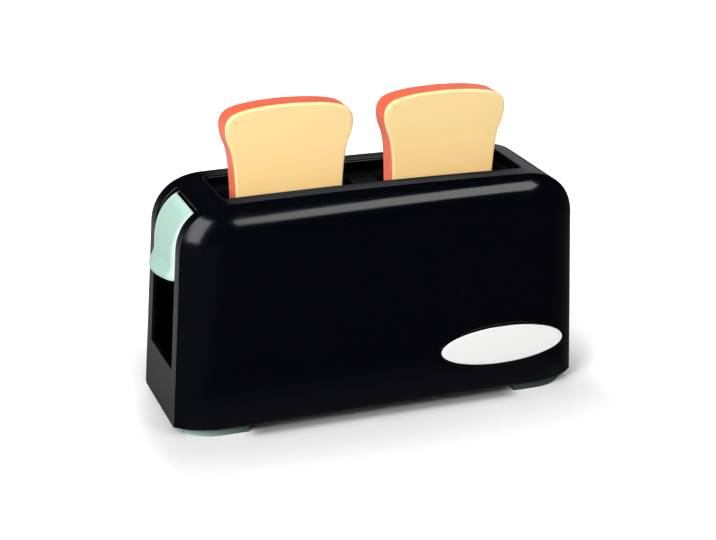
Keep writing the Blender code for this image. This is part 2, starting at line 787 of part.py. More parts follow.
def make_slice(word, parent, face_surface, back_surface):
    """One slice: a shell open to the front, and a rounded front that plugs into it on two pegs."""
    front, back = -half_thickness, half_thickness
    split = front + slice_front_thickness
    plug_end = split + slice_plug
    bm = bmesh.new()
    add_loft(bm, [slice_loop(0, split + gap), slice_loop(0, back - slice_back_edge),
                  slice_loop(slice_back_edge / 3, back - slice_back_edge / 3),
                  slice_loop(slice_back_edge, back)])
    shell = make(f"slice_{word}_back", bm, back_surface, parent)
    cavity = bmesh.new()
    add_loft(cavity, [slice_loop(slice_shell, front), slice_loop(slice_shell, back - slice_shell)])
    combine(shell, cavity, "DIFFERENCE", "cavity")
    heights = [share * slice_height for share in slice_peg_up_share]
    sockets = bmesh.new()
    for z in heights:
        add_rod(sockets, (0, plug_end + gap, z), (0, back - slice_shell / 2, z),
                slice_peg_radius + gap + slice_shell / 2)
    combine(shell, sockets, "UNION", "sockets")
    bores = bmesh.new()
    for z in heights:
        add_rod(bores, (0, front, z), (0, back - slice_shell, z), slice_peg_radius + gap)
    combine(shell, bores, "DIFFERENCE", "bores")

    bm = bmesh.new()
    plug_inset = slice_shell + gap
    add_loft(bm, [slice_loop(slice_front_edge, front),
                  slice_loop(slice_front_edge / 3, front + slice_front_thickness / 3),
                  slice_loop(0, split), slice_loop(plug_inset, split),
                  slice_loop(plug_inset, plug_end)])
    face = make(f"slice_{word}_face", bm, face_surface, parent)
    pegs = bmesh.new()
    for z in heights:
        add_rod(pegs, (0, split, z), (0, back - slice_shell - gap, z), slice_peg_radius)
    combine(face, pegs, "UNION", "pegs")


def main():
    for old in list(bpy.data.objects):
        bpy.data.objects.remove(old, do_unlink=True)

    black = material("black_gloss", (0.004, 0.004, 0.006), 0.12)
    dark = material("dark_plastic", (0.012, 0.012, 0.014), 0.4)
    mint = material("mint_plastic", (0.48, 0.74, 0.64), 0.3)
    white = material("white_plastic", (0.9, 0.89, 0.87), 0.3)
    cream = material("cream_plastic", (0.93, 0.71, 0.33), 0.4)
    orange = material("orange_plastic", (0.95, 0.16, 0.07), 0.35)
    steel = material("dark_steel", (0.05, 0.05, 0.055), 0.35, metallic=1.0)

    toy = empty("toy_middle", None, (middle_shift, 0, 0))
    make_casing(toy, black)
    make_badge(toy, white)
    make_base(toy, dark)
    make_foot(-1, "foot_left", toy, mint)
    make_foot(1, "foot_right", toy, mint)
    base_places = [(x, y, ground_gap + screw_head_height)
                   for x, y in corners(base_boss_x, base_boss_y)]
    make_screws("base_screw", base_places, (0, 0, 1), base_screw_length, toy, steel)
    make_guide(toy, dark)
    guide_places = [(x, y, ear_bottom - gap) for x, y in corners(guide_screw_x, guide_screw_y)]
    make_screws("guide_screw", guide_places, (0, 0, 1), guide_screw_length, toy, steel)
    for side in (-1, 1):
        make_rod(side, toy, steel, dark)
        make_spring(side, toy, steel)

    lift = empty("lift_axis", toy)
    make_carriage(lift, dark)
    make_lever(lift, mint)
    lever_places = [(-pad_inner + gap, y, screw_z) for y in (-lever_screw_y, lever_screw_y)]
    make_screws("lever_screw", lever_places, (-1, 0, 0), lever_screw_length, lift, steel)
    for side, word in ((-1, "left"), (1, "right")):
        seat = empty(f"slice_{word}_seat", lift,
                     (side * slice_pitch / 2 - slice_slack, -slice_forward, slice_foot))
        make_slice(word, seat, cream, orange)

    print(f"lift travel {lift_travel * 1000:.2f} mm, slice lift-out {slice_lift_out * 1000:.1f} mm")


main()
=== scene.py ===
"""The looks of a toy toaster, built on its frame: casing, thumb lever, play bread, inner works.

Metres, +Z up. The badge faces -Y and the thumb lever is at the -X end. Each piece keeps its place
in its mesh, so its object sits at the origin. Forms are worked out with X from the casing's middle.
"""
import json
import math

import bmesh
import bpy
from bpy.props import FloatProperty, FloatVectorProperty, IntProperty, PointerProperty
from mathutils import Matrix, Vector


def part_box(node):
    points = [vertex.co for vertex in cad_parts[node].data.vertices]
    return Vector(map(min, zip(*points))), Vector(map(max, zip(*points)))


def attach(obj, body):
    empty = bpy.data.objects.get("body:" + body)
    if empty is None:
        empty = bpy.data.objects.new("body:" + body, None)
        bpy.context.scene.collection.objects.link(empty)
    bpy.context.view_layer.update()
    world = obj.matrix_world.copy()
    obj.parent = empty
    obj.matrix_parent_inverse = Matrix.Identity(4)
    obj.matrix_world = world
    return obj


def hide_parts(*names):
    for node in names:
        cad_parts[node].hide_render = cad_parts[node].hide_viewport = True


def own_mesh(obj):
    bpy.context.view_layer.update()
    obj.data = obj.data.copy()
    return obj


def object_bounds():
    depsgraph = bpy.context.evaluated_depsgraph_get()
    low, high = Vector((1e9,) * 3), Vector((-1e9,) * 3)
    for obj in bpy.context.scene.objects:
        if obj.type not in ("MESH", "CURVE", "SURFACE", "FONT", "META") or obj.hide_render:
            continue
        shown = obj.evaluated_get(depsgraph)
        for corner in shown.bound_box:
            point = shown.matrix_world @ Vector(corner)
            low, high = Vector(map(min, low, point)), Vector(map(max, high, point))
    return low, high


bl_info = {
    "name": "Toy Toaster",
    "version": (1, 0, 0),
    "blender": (4, 5, 0),
    "location": "View3D > Sidebar > Toaster",
    "description": "Builds a toy toaster with its lever, springs and slices of play bread",
    "category": "Add Mesh",
}

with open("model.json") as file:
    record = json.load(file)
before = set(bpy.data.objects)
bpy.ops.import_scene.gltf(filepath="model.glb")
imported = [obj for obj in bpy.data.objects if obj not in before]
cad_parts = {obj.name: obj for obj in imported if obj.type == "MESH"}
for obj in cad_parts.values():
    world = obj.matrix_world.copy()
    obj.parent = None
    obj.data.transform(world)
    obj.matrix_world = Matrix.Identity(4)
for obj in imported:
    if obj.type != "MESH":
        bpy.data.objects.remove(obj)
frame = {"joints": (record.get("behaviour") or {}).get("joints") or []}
frame_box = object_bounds()

casing_low, casing_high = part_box("casing")
middle_x = (casing_low.x + casing_high.x) / 2
casing_foot = casing_low.z
casing_top = casing_high.z
lift_travel = next(joint["range_m"][1] for joint in frame["joints"]
                   if joint["name"] == "lift_slide")

play = 0.0003  # room round a rod, a screw or a peg, and between two pieces
slice_pitch = 0.0697
screw_x, base_screw_y, guide_screw_y = 0.05, 0.0255, 0.02
lever_screw_y, lever_screw_z = 0.007, 0.0725
foot_inset, foot_length, peg_y = 0.0044, 0.0266, 0.014
rim_reach = 0.0016  # from the slot's edge to the end of its rim, where the bread guide ends too


def size(name, description, default, low=0.0, high=1.0):
    """A length that the maker can change, in metres."""
    return FloatProperty(name=name, description=description, default=default, min=low, max=high,
                         unit="LENGTH", precision=5)


def colour(name, description, default):
    """A colour that the maker can change."""
    return FloatVectorProperty(name=name, description=description, default=default, min=0, max=1,
                               size=3, subtype="COLOR")


def power(name, description, default):
    """The power of a lamp, in watts."""
    return FloatProperty(name=name, description=description, default=default, min=0, max=2000,
                         unit="POWER")


class CasingSizes(bpy.types.PropertyGroup):
    """The moulded casing with its bread slot and lever channel."""
    wall: size("Wall", "Thickness of the moulded wall", 0.0022)
    band_width: size("End band width", "Width of the flat band round the ends, at its foot", 0.0477)
    pillow_side: size("Side pillow", "Reach of the broad face's round edge from an end", 0.0196)
    pillow_top: size("Top pillow", "Reach of the broad face's round edge from the top", 0.015)
    face_corner_x: size("Face corner across", "Reach of the broad face's top corner", 0.0047)
    face_corner_z: size("Face corner up", "Height of the broad face's top corner", 0.0077)
    crown: size("Crown", "Rise of the top between its corners", 0.0007)
    slot_length: size("Slot length", "Length of the bread slot", 0.1339)
    slot_width: size("Slot width", "Width of the bread slot", 0.0286)
    slot_corner: size("Slot corner", "Radius of the slot's corners", 0.0022)
    rim_drop: size("Rim drop", "How far the slot's rim turns down below the wall", 0.0014)
    rim_round: size("Rim round", "Rounding of the slot's and the channel's edges", 0.001)
    channel_width: size("Channel width", "Width of the lever channel at its sill", 0.0324)
    channel_sill: size("Channel sill", "Height of the lever channel's sill above the floor", 0.0274)
    channel_over_top: size("Channel over the top", "Reach of the channel over the top", 0.0135)
    gloss: colour("Casing colour", "Colour of the glossy casing", (0.0012, 0.0014, 0.0030))
    inner: colour("Inner colour", "Colour of the satin inner parts", (0.005, 0.005, 0.006))


class BadgeSizes(bpy.types.PropertyGroup):
    """The bare oval badge on the front."""
    length: size("Badge length", "Length of the oval badge", 0.0582)
    height: size("Badge height", "Height of the oval badge", 0.0173)
    from_end: size("From the end", "Distance from the casing's end to the badge's middle", 0.0381)
    up: size("Up", "Height of the badge's middle above the casing's foot", 0.0207)
    surround: size("Surround", "Width of the raised line round the badge", 0.0013)
    white: colour("Badge colour", "Colour of the badge", (0.95, 0.945, 0.925))


class LeverSizes(bpy.types.PropertyGroup):
    """The thumb lever and its shelf."""
    top_gap: size("Top gap", "Gap between the channel's end and the lever's top", 0.0006)
    side_gap: size("Side gap", "Gap on each side of the lever", 0.0003)
    top_sink: size("Top sink", "How far the lever's top lies below the casing", 0.0012)
    proud: size("Proud", "How far the lever stands out below the corner", 0.001)
    wall: size("Lever wall", "Thickness of the lever", 0.0024)
    bottom: size("Bottom", "Height of the lever's lower edge above the floor", 0.0659)
    side_round: size("Side rounding depth", "Depth of the rounding along the lever's sides", 0.0018)
    side_width: size("Side rounding width", "Width of the rounding along the lever's sides", 0.0024)
    top_round: size("Top rounding", "Radius of the rounding along the lever's top", 0.0007)
    reach: size("Shelf reach", "How far the thumb shelf reaches out", 0.0046)
    flare: size("Shelf flare", "Height over which the shelf flares out", 0.004)
    mint: colour("Lever colour", "Colour of the lever and the feet", (0.39, 0.59, 0.515))


class BreadSizes(bpy.types.PropertyGroup):
    """A slice of play bread: an orange shell with a cream front."""
    width: size("Slice width", "Width of a slice across its crown", 0.0557)
    height: size("Slice height", "Height of a slice", 0.0695)
    thickness: size("Slice thickness", "Thickness of a slice", 0.012)
    front: size("Front thickness", "Thickness of the cream front", 0.0014)
    front_edge: size("Front edge", "Rounding of the cream front's edge", 0.0012)
    back_edge: size("Back edge", "Rounding of the shell's back edge", 0.001)
    shell: size("Shell", "Thickness of the orange shell", 0.002)
    cream: colour("Crumb colour", "Colour of the cream front", (0.955, 0.70, 0.325))
    orange: colour("Crust colour", "Colour of the orange shell", (0.85, 0.13, 0.06))


class WorksSizes(bpy.types.PropertyGroup):
    """The rods, springs and screws."""
    rod_from_middle: size("Rod place", "Distance of a guide rod from the casing's middle", 0.072)
    rod_radius: size("Rod radius", "Radius of a guide rod", 0.0015)
    spring_radius: size("Spring radius", "Radius of a return spring's middle line", 0.0032)
    spring_wire: size("Spring wire", "Thickness of the spring wire", 0.0009)
    spring_curls: IntProperty(name="Spring curls", description="Number of curls in a spring",
                              default=9, min=3, max=20)
    screw_radius: size("Screw radius", "Radius of a screw's shank", 0.0012)
    screw_head: size("Screw head", "Radius of a screw's head", 0.0026)
    screw_head_height: size("Screw head height", "Height of a screw's head", 0.0011)
    steel: colour("Steel colour", "Colour of the screws, rods and springs", (0.42, 0.42, 0.43))


class StageSizes(bpy.types.PropertyGroup):
    """The floor and the lamps."""
    floor: colour("Floor colour", "Colour of the pale floor", (0.8, 0.8, 0.8))
    room: FloatProperty(name="Room light", description="Strength of the light from all round",
                        default=0.25, min=0, max=5)
    lamp_left: power("Left lamp", "Power of the large lamp at the left", 18)
    lamp_right: power("Right lamp", "Power of the large lamp at the right", 4.4)
    lamp_back: power("Back lamp", "Power of the large lamp behind the toy", 4.5)
    shine_left: power("Left shine", "Power of the left lamp's look in gloss", 118)
    shine_right: power("Right shine", "Power of the right lamp's look in gloss", 49)


def sizes_of(group):
    """The sizes and colours of a group, as the maker has set them."""
    return getattr(bpy.context.scene, "toaster_" + group)


def at(x, y, z):
    """A place whose X is measured from the casing's middle."""
    return middle_x + x, y, z


def select_none():
    """Leave nothing selected, so that the next operator acts on the new piece alone."""
    if bpy.context.object and bpy.context.object.mode != "OBJECT":
        bpy.ops.object.mode_set(mode="OBJECT")
    bpy.ops.object.select_all(action="DESELECT")


def pick(piece):
    select_none()
    piece.select_set(True)
    bpy.context.view_layer.objects.active = piece
    return piece


def edit(piece, kind="VERT"):
    """Open a piece in edit mode, with nothing selected."""
    pick(piece)
    bpy.ops.object.mode_set(mode="EDIT")
    bpy.ops.mesh.select_mode(type=kind)
    bpy.ops.mesh.select_all(action="DESELECT")


def choose(piece, parts, test):
    """Select only the faces or edges that pass a test."""
    bpy.ops.mesh.select_all(action="DESELECT")
    mesh = bmesh.from_edit_mesh(piece.data)
    chosen = [part for part in getattr(mesh, parts) if test(part)]
    if not chosen:
        raise RuntimeError(f"{piece.name} has no {parts} that pass the test")
    for part in chosen:
        part.select_set(True)
    mesh.select_flush_mode()
    bmesh.update_edit_mesh(piece.data)


def draw_up(height):
    """Extrude what is selected straight up."""
    bpy.ops.mesh.extrude_region_move(TRANSFORM_OT_translate={"value": (0, 0, height)})


def bevel_selected(width, segments, **settings):
    bpy.ops.mesh.bevel(offset=width, offset_type="OFFSET", segments=segments, affect="EDGES",
                       **settings)


def face_outwards():
    bpy.ops.mesh.select_all(action="SELECT")
    bpy.ops.mesh.normals_make_consistent(inside=False)


def close_edit():
    bpy.ops.object.mode_set(mode="OBJECT")


def named(name):
    """Name the piece that was just added."""
    piece = bpy.context.object
    piece.name = name
    piece.data.name = name
    return piece


def finish_modifier(piece, kind, **settings):
    """Add a modifier, set it and apply it."""
    pick(piece)
    step = piece.modifiers.new(kind.title(), kind)
    for key, value in settings.items():
        setattr(step, key, value)
    bpy.ops.object.modifier_apply(modifier=step.name)


def round_edges(piece, width, segments, degrees=60):
    """Round every edge that is sharper than an angle."""
    finish_modifier(piece, "BEVEL", width=width, segments=segments, limit_method="ANGLE",
                    angle_limit=math.radians(degrees), use_clamp_overlap=True, harden_normals=False)


def shade(piece, degrees=35):
    """Smooth shading that large flat faces keep flat."""
    pick(piece)
    bpy.ops.object.shade_smooth_by_angle(angle=math.radians(degrees))
    finish_modifier(piece, "WEIGHTED_NORMAL", keep_sharp=True, weight=100)
    return piece


def place(piece):
    """Move a piece's place, turn and scale into its mesh."""
    pick(piece)
    bpy.ops.object.transform_apply(location=True, rotation=True, scale=True)
    return piece


def dress(piece, body, slot, *nodes):
    """Give a piece its body, its slot with that slot's finish, and the nodes that it stands for."""
    piece.data.materials.clear()
    piece.data.materials.append(finish_for(slot))
    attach(piece, body)
    if nodes:
        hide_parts(*nodes)
    return piece


def block(name, corner, opposite):
    """A box from corner to corner, as a start for a piece or as a cutter."""
    select_none()
    middle = (Vector(corner) + Vector(opposite)) / 2
    bpy.ops.mesh.primitive_cube_add(size=1, location=middle)
    piece = named(name)
    piece.scale = [abs(a - b) for a, b in zip(corner, opposite)]
    return place(piece)


def bar(name, start, end, radius, sides=40):
    """A round bar between two points, as a start for a piece or as a cutter."""
    select_none()
    start, end = Vector(start), Vector(end)
    turn = (end - start).to_track_quat("Z", "Y").to_euler()
    bpy.ops.mesh.primitive_cylinder_add(vertices=sides, radius=radius, depth=(end - start).length,
                                        location=(start + end) / 2, rotation=turn)
    return place(named(name))


def post(name, x, y, low, high, radius, sides=40):
    """An upright round bar."""
    return bar(name, at(x, y, low), at(x, y, high), radius, sides)


def carve(piece, operation, *tools):
    """Join tools to a piece, or cut them out of it, and remove the tools."""
    for tool in tools:
        finish_modifier(piece, "BOOLEAN", operation=operation, solver="EXACT", object=tool)
        bpy.data.objects.remove(tool)
    return piece


def lay_grid(name, rows, closed=True):
    """A grid laid through rows of points. A closed one is a tube whose seam and ends are shut."""
    select_none()
    columns = len(rows[0]) + (1 if closed else 0)
    bpy.ops.mesh.primitive_grid_add(x_subdivisions=columns - 1, y_subdivisions=len(rows) - 1,
                                    size=1)
    piece = named(name)
    for number, vertex in enumerate(piece.data.vertices):
        vertex.co = at(*rows[number // columns][number % columns % len(rows[0])])
    if closed:
        edit(piece)
        bpy.ops.mesh.select_all(action="SELECT")
        bpy.ops.mesh.remove_doubles(threshold=1e-7)
        bpy.ops.mesh.select_all(action="SELECT")
        bpy.ops.mesh.fill_holes(sides=0)
        face_outwards()
        close_edit()
    return piece


class CasingForm:
    """The casing's outer form: leaning ends, round top corners and pillowed broad faces."""
    end_lean = 0.057
    face_lean = 0.010
    band_lean = 0.0143
    corner_power = 2.32
    pillow_angle = math.radians(50.8)

    def __init__(self):
        sizes = self.sizes = sizes_of("casing")
        self.half_length = (casing_high.x - casing_low.x) / 2
        self.half_depth = (casing_high.y - casing_low.y) / 2
        self.corner_z = casing_top - sizes.crown - sizes.face_corner_z - sizes.pillow_top
        self.corner_x = self.end_x(self.corner_z) - sizes.face_corner_x - sizes.pillow_side

    def end_x(self, z):
        return self.half_length - self.end_lean * (z - casing_foot)

    def face_y(self, z):
        return self.half_depth - self.face_lean * (z - casing_foot)

    def band_y(self, z):
        return self.sizes.band_width / 2 - self.band_lean * (z - casing_foot)

    def channel_y(self, z):
        return self.sizes.channel_width / 2 - self.band_lean * (z - self.sizes.channel_sill)

    def corner_reach(self, inset):
        return self.sizes.face_corner_x + self.sizes.pillow_side - inset

    def corner_rise(self, inset):
        return self.sizes.face_corner_z + self.sizes.pillow_top - inset

    def round_off(self, share):
        """How far the corner still stands out at a share of the way along its other side."""
        return (1 - min(share, 1) ** self.corner_power) ** (1 / self.corner_power)

    def outline_x(self, z, inset):
        if z <= self.corner_z:
            return self.end_x(z) - inset
        return self.corner_x + self.corner_reach(inset) * self.round_off(
            (z - self.corner_z) / self.corner_rise(inset))

    def outline_z(self, x, inset):
        if x <= self.corner_x:
            return casing_top - inset - self.sizes.crown * (x / self.corner_x) ** 2
        return self.corner_z + self.corner_rise(inset) * self.round_off(
            (x - self.corner_x) / self.corner_reach(inset))

    def corner_angle(self, x):
        """The angle round the top corner at which its outline passes a distance from the middle."""
        return math.acos(((x - self.corner_x) / self.corner_reach(0)) ** (self.corner_power / 2))

    def row(self, kind, value):
        """A row's point on the end band and its point on the broad face, both as (x, z)."""
        sizes = self.sizes
        if kind == "straight":
            return (self.end_x(value), value), (self.end_x(value) - sizes.pillow_side, value)
        if kind == "corner":
            across = max(math.cos(value), 0) ** (2 / self.corner_power)
            up = math.sin(value) ** (2 / self.corner_power)
            return ((self.corner_x + self.corner_reach(0) * across,
                     self.corner_z + self.corner_rise(0) * up),
                    (self.corner_x + sizes.face_corner_x * across,
                     self.corner_z + sizes.face_corner_z * up))
        drop = sizes.crown * (value / self.corner_x) ** 2
        return (value, casing_top - drop), (value, casing_top - sizes.pillow_top - drop)

    def pillow(self, count):
        """Steps from the band to the broad face: how far inwards, and how far outwards."""
        steps = []
        for step in range(count + 1):
            angle = self.pillow_angle * (1 - step / count)
            steps.append((1 - math.sin(angle) / math.sin(self.pillow_angle),
                          1 - (1 - math.cos(angle)) / (1 - math.cos(self.pillow_angle))))
        return steps


def casing_rows(form):
    """Rows of points over the casing, and which rows and columns the two openings take up."""
    sizes = form.sizes
    channel_end = form.corner_angle(form.half_length - sizes.channel_over_top)
    slot_end = form.corner_angle(sizes.slot_length / 2)
    corner_steps, straight_steps, near = 26, 5, math.radians(2)
    steps = [math.pi / 2 * step / corner_steps for step in range(1, corner_steps + 1)]
    angles = [angle for angle in steps
              if min(abs(angle - channel_end), abs(angle - slot_end)) > near or angle == steps[-1]]
    left = [("straight", casing_foot), ("straight", (casing_foot + sizes.channel_sill) / 2)]
    left += [("straight", sizes.channel_sill
              + (form.corner_z - sizes.channel_sill) * step / straight_steps)
             for step in range(straight_steps + 1)]
    left += [("corner", angle) for angle in sorted(angles + [channel_end, slot_end])]
    right = [("straight", casing_foot + (form.corner_z - casing_foot) * step / straight_steps)
             for step in range(straight_steps + 1)]
    right += [("corner", angle) for angle in sorted(angles + [slot_end])]
    flat = [("top", form.corner_x * (1 - step / straight_steps))
            for step in range(1, straight_steps + 1)]
    stations = [(-1, *row) for row in left + flat]
    stations += [(1, *row) for row in (right + flat[:-1])[::-1]]
    pillow = form.pillow(10)
    rows = []
    for side, kind, value in stations:
        band, face = form.row(kind, value)
        narrow = form.band_y(band[1])
        half_hole = sizes.slot_width / 2
        if side < 0 and (kind == "straight" or kind == "corner" and value <= channel_end):
            half_hole = form.channel_y(max(band[1], sizes.channel_sill))
        quarter = []
        for inward, outward in pillow:
            x = band[0] + (face[0] - band[0]) * inward
            z = band[1] + (face[1] - band[1]) * inward
            quarter.append((x, narrow + (form.face_y(z) - narrow) * outward, z))
        strip = [(band[0], y, band[1])
                 for y in ((narrow + half_hole) / 2, half_hole, half_hole / 3)]
        half = quarter[::-1] + strip
        line = [(x, -y, z) for x, y, z in half] + half[::-1]
        rows.append([(side * x, y, z) for x, y, z in line])
    middle_column = len(rows[0]) // 2
    places = {(side, kind, value): number for number, (side, kind, value) in enumerate(stations)}
    channel = (places[-1, "straight", sizes.channel_sill], places[-1, "corner", channel_end])
    slot = (places[-1, "corner", slot_end], places[1, "corner", slot_end])
    return rows, (channel, slot), (middle_column - 2, middle_column + 1)


def make_casing_shell(form):
    """The casing: one curved skin with a slot and a channel in it, then given its wall."""
    sizes = form.sizes
    rows, openings, (first, last) = casing_rows(form)
    columns = len(rows[0])
    piece = lay_grid("casing_shell", rows, closed=False)

    def in_opening(face):
        places = [divmod(vertex.index, columns) for vertex in face.verts]
        if not all(first <= column <= last for row, column in places):
            return False
        return any(all(low <= row <= high for row, column in places) for low, high in openings)

    edit(piece, "FACE")
    choose(piece, "faces", in_opening)
    bpy.ops.mesh.delete(type="FACE")

    bpy.ops.mesh.select_mode(type="EDGE")
    for side in (-1, 1):
        choose(piece, "edges", lambda edge: edge.is_boundary and all(
            abs(side * vertex.co.y - form.face_y(vertex.co.z)) < 1e-6 for vertex in edge.verts))
        bpy.ops.mesh.edge_face_add()

    slot_x, slot_y = sizes.slot_length / 2 + 1e-5, sizes.slot_width / 2 + 1e-5
    choose(piece, "edges", lambda edge: edge.is_boundary and all(
        abs(vertex.co.x - middle_x) < slot_x and abs(vertex.co.y) < slot_y
        for vertex in edge.verts))
    draw_up(-sizes.wall)
    rim_bottom = form.outline_z(sizes.slot_length / 2 + rim_reach, sizes.wall) - sizes.rim_drop
    for vertex in bmesh.from_edit_mesh(piece.data).verts:
        if vertex.select:
            vertex.co.z = rim_bottom
    bmesh.update_edit_mesh(piece.data)

    choose(piece, "edges", lambda edge: all(
        abs(abs(vertex.co.x - middle_x) - slot_x) < 3e-5 and abs(abs(vertex.co.y) - slot_y) < 3e-5
        for vertex in edge.verts))
    bevel_selected(sizes.slot_corner, 6)
    face_outwards()
    front = min(bmesh.from_edit_mesh(piece.data).faces,
                key=lambda face: face.calc_center_median().y)
    if front.normal.y > 0:
        bpy.ops.mesh.flip_normals()
    close_edit()
    finish_modifier(piece, "SOLIDIFY", thickness=sizes.wall, offset=-1, use_even_offset=True,
                    use_quality_normals=True)

    def on_rim(edge):
        if len(edge.link_faces) != 2 or edge.calc_face_angle() < math.radians(50):
            return False
        for vertex in edge.verts:
            x, y, z = vertex.co.x - middle_x, abs(vertex.co.y), vertex.co.z
            on_slot = abs(x) < slot_x and y < slot_y and z > rim_bottom + sizes.wall
            on_channel = (x < 0 and y < form.channel_y(z) + 1e-4 and z > sizes.channel_sill - 1e-4
                          and abs(-x - form.outline_x(z, 0)) < 4e-5)
            on_foot = z < casing_foot + 1e-5 and y > form.band_y(z) - 1e-5
            if not (on_slot or on_channel or on_foot):
                return False
        return True

    edit(piece, "EDGE")
    choose(piece, "edges", on_rim)
    bevel_selected(sizes.rim_round, 5, clamp_overlap=False)
    close_edit()
    return piece


def oval_form(name, loops, sides=112):
    """A shut form through ovals of (half length, half height, height), drawn up one by one."""
    select_none()
    half_length, half_height, height = loops[0]
    bpy.ops.mesh.primitive_circle_add(vertices=sides, radius=1, fill_type="NGON",
                                      location=(0, 0, height))
    piece = named(name)
    piece.scale = (half_length, half_height, 1)
    edit(place(piece), "FACE")
    bpy.ops.mesh.select_all(action="SELECT")
    for (length, width, low), (next_length, next_width, high) in zip(loops, loops[1:]):
        draw_up(high - low)
        bpy.ops.transform.resize(value=(next_length / length, next_width / width, 1),
                                 center_override=(0, 0, high))
    face_outwards()
    close_edit()
    return piece


def on_front(piece, form, sizes):
    """Turn an oval form to face the front, and set it at the badge's place."""
    z = casing_foot + sizes.up
    piece.rotation_euler = (math.pi / 2 - math.atan(form.face_lean), 0, 0)
    piece.location = at(form.half_length - sizes.from_end, -form.face_y(z), z)
    return place(piece)


def quarter_steps(count):
    """Steps round a quarter circle: across from 0 to 1 while up goes from 0 to 1."""
    angles = [math.pi / 2 * step / count for step in range(count + 1)]
    return [(1 - math.cos(angle), math.sin(angle)) for angle in angles]


def make_badge_pieces(form, sizes):
    """The bare badge, the raised line round it, and a cutter for its seat in the casing."""
    across, up = sizes.length / 2, sizes.height / 2

    def oval(wider, z):
        return across + wider, up + wider, z

    edge, front, back, swell = 0.0004, 0.0002, -0.0008, 0.00012
    loops = [oval(0, back)]
    loops += [oval(-edge * inward, front - edge + edge * outward)
              for inward, outward in quarter_steps(4)]
    loops += [(across * share, up * share, front + swell * (1 - share ** 2))
              for share in (0.8, 0.6, 0.4, 0.2)]
    badge = on_front(oval_form("badge_plate", loops), form, sizes)

    lift, edge, lip, foot = 0.00012, 0.00042, 0.0002, -0.004
    outer = play + sizes.surround
    loops = [oval(outer, foot)]
    loops += [oval(outer - edge * inward, lift - edge + edge * outward)
              for inward, outward in quarter_steps(4)]
    loops += [oval(play + lip * inward, lift - lip + lip * outward)
              for inward, outward in quarter_steps(3)[::-1]]
    loops.append(oval(play, back - 0.0002))
    surround = on_front(oval_form("badge_surround", loops), form, sizes)

    middle, deep, proud = play + sizes.surround / 2, -0.006, 0.003
    loops = [oval(middle, deep), oval(middle, proud)]
    cutter = on_front(oval_form("badge_cutter", loops), form, sizes)
    return badge, surround, cutter


def plan_half(form, z, inset, end_inset, count=12):
    """Half of the casing's plan outline at a height: one end, from its middle to its broad face."""
    sizes = form.sizes
    narrow, broad = form.band_y(z) - inset, form.face_y(z) - inset
    points = []
    for inward, outward in form.pillow(count):
        x = form.end_x(z) - inset - (sizes.pillow_side - inset) * inward - end_inset * (1 - inward)
        points.append((x, narrow + (broad - narrow) * outward))
    return points


def make_foot_skid(name, side, form):
    """A flat skid under one end, with its edges rounded and two pegs on it."""
    front_inset, thickness, sunk, peg_low, peg_radius = 0.0014, 0.0032, 0.0036, 0.001, 0.002
    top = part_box(name)[1].z
    half = plan_half(form, casing_foot, front_inset, foot_inset - front_inset)
    inner = form.end_x(casing_foot) - foot_inset - foot_length
    half.append((inner, half[-1][1]))
    plan = half + [(x, -y) for x, y in half[::-1]]
    rows = [[(side * x, y, z) for x, y in plan] for z in (0, min(top - sunk, thickness))]
    piece = lay_grid(name + "_skid", rows)
    round_edges(piece, 0.0005, 3, 50)
    peg_x = side * (inner + foot_length / 2)
    pegs = [post("peg", peg_x, y, peg_low, top, peg_radius, 24) for y in (-peg_y, peg_y)]
    return shade(carve(piece, "UNION", *pegs))


def make_base(form, works):
    """The base plate, with sunk screw holes, holes for the pegs and a seat for each rod."""
    top, low, past = 0.0059, casing_foot, 0.02
    rod, head = works.rod_from_middle, works.screw_head_height
    seat_low, seat_top, seat_radius, bore_low, peg_hole = 0.0047, 0.0109, 0.0046, 0.0042, 0.0023
    half = plan_half(form, top, form.sizes.wall + play, 0)
    plan = half + [(-x, y) for x, y in half[::-1]]
    plan += [(x, -y) for x, y in plan[::-1]]
    piece = lay_grid("base_tray", [[(x, y, z) for x, y in plan] for z in (low, top)])
    carve(piece, "UNION", *(post("seat", x, 0, seat_low, seat_top, seat_radius)
                            for x in (-rod, rod)))
    cutters = [post("bore", x, 0, bore_low, past, works.rod_radius + play) for x in (-rod, rod)]
    for side in (-1, 1):
        x, peg_x = side * screw_x, side * (form.end_x(low) - foot_inset - foot_length / 2)
        for y in (-base_screw_y, base_screw_y):
            cutters += [post("sink", x, y, 0, low + head + play, works.screw_head + play),
                        post("hole", x, y, 0, past, works.screw_radius + play)]
        cutters += [post("peg_hole", peg_x, y, 0, past, peg_hole, 24) for y in (-peg_y, peg_y)]
    carve(piece, "DIFFERENCE", *cutters)
    round_edges(piece, 0.0002, 2)
    return shade(piece)


def make_screw(name, length, works):
    """A round-headed screw at the origin, its shank up +Z and a cross sunk in its head."""
    radius, height, cross, past = works.screw_head, works.screw_head_height, 0.00028, 0.001
    head = bar(name, (0, 0, -height), (0, 0, 0), radius)
    edit(head, "EDGE")
    choose(head, "edges", lambda edge: all(vertex.co.z < -height / 2 for vertex in edge.verts))
    bevel_selected(height * 0.7, 5)
    close_edit()
    shank = bar("shank", (0, 0, -height / 2), (0, 0, length), works.screw_radius, 24)
    edit(shank, "FACE")
    choose(shank, "faces", lambda face: face.normal.z > 0.9)
    bpy.ops.transform.translate(value=(0, 0, -works.screw_radius))
    draw_up(works.screw_radius)
    bpy.ops.transform.resize(value=(0.35, 0.35, 1), center_override=(0, 0, length))
    close_edit()
    carve(head, "UNION", shank)
    wide, deep = radius * 1.15 / 2, height * 0.6
    carve(head, "DIFFERENCE", *(block("cross", (-x, -y, -height - past), (x, y, -height + deep))
                                for x, y in ((wide, cross), (cross, wide))))
    round_edges(head, 0.00006, 1)
    return shade(head)


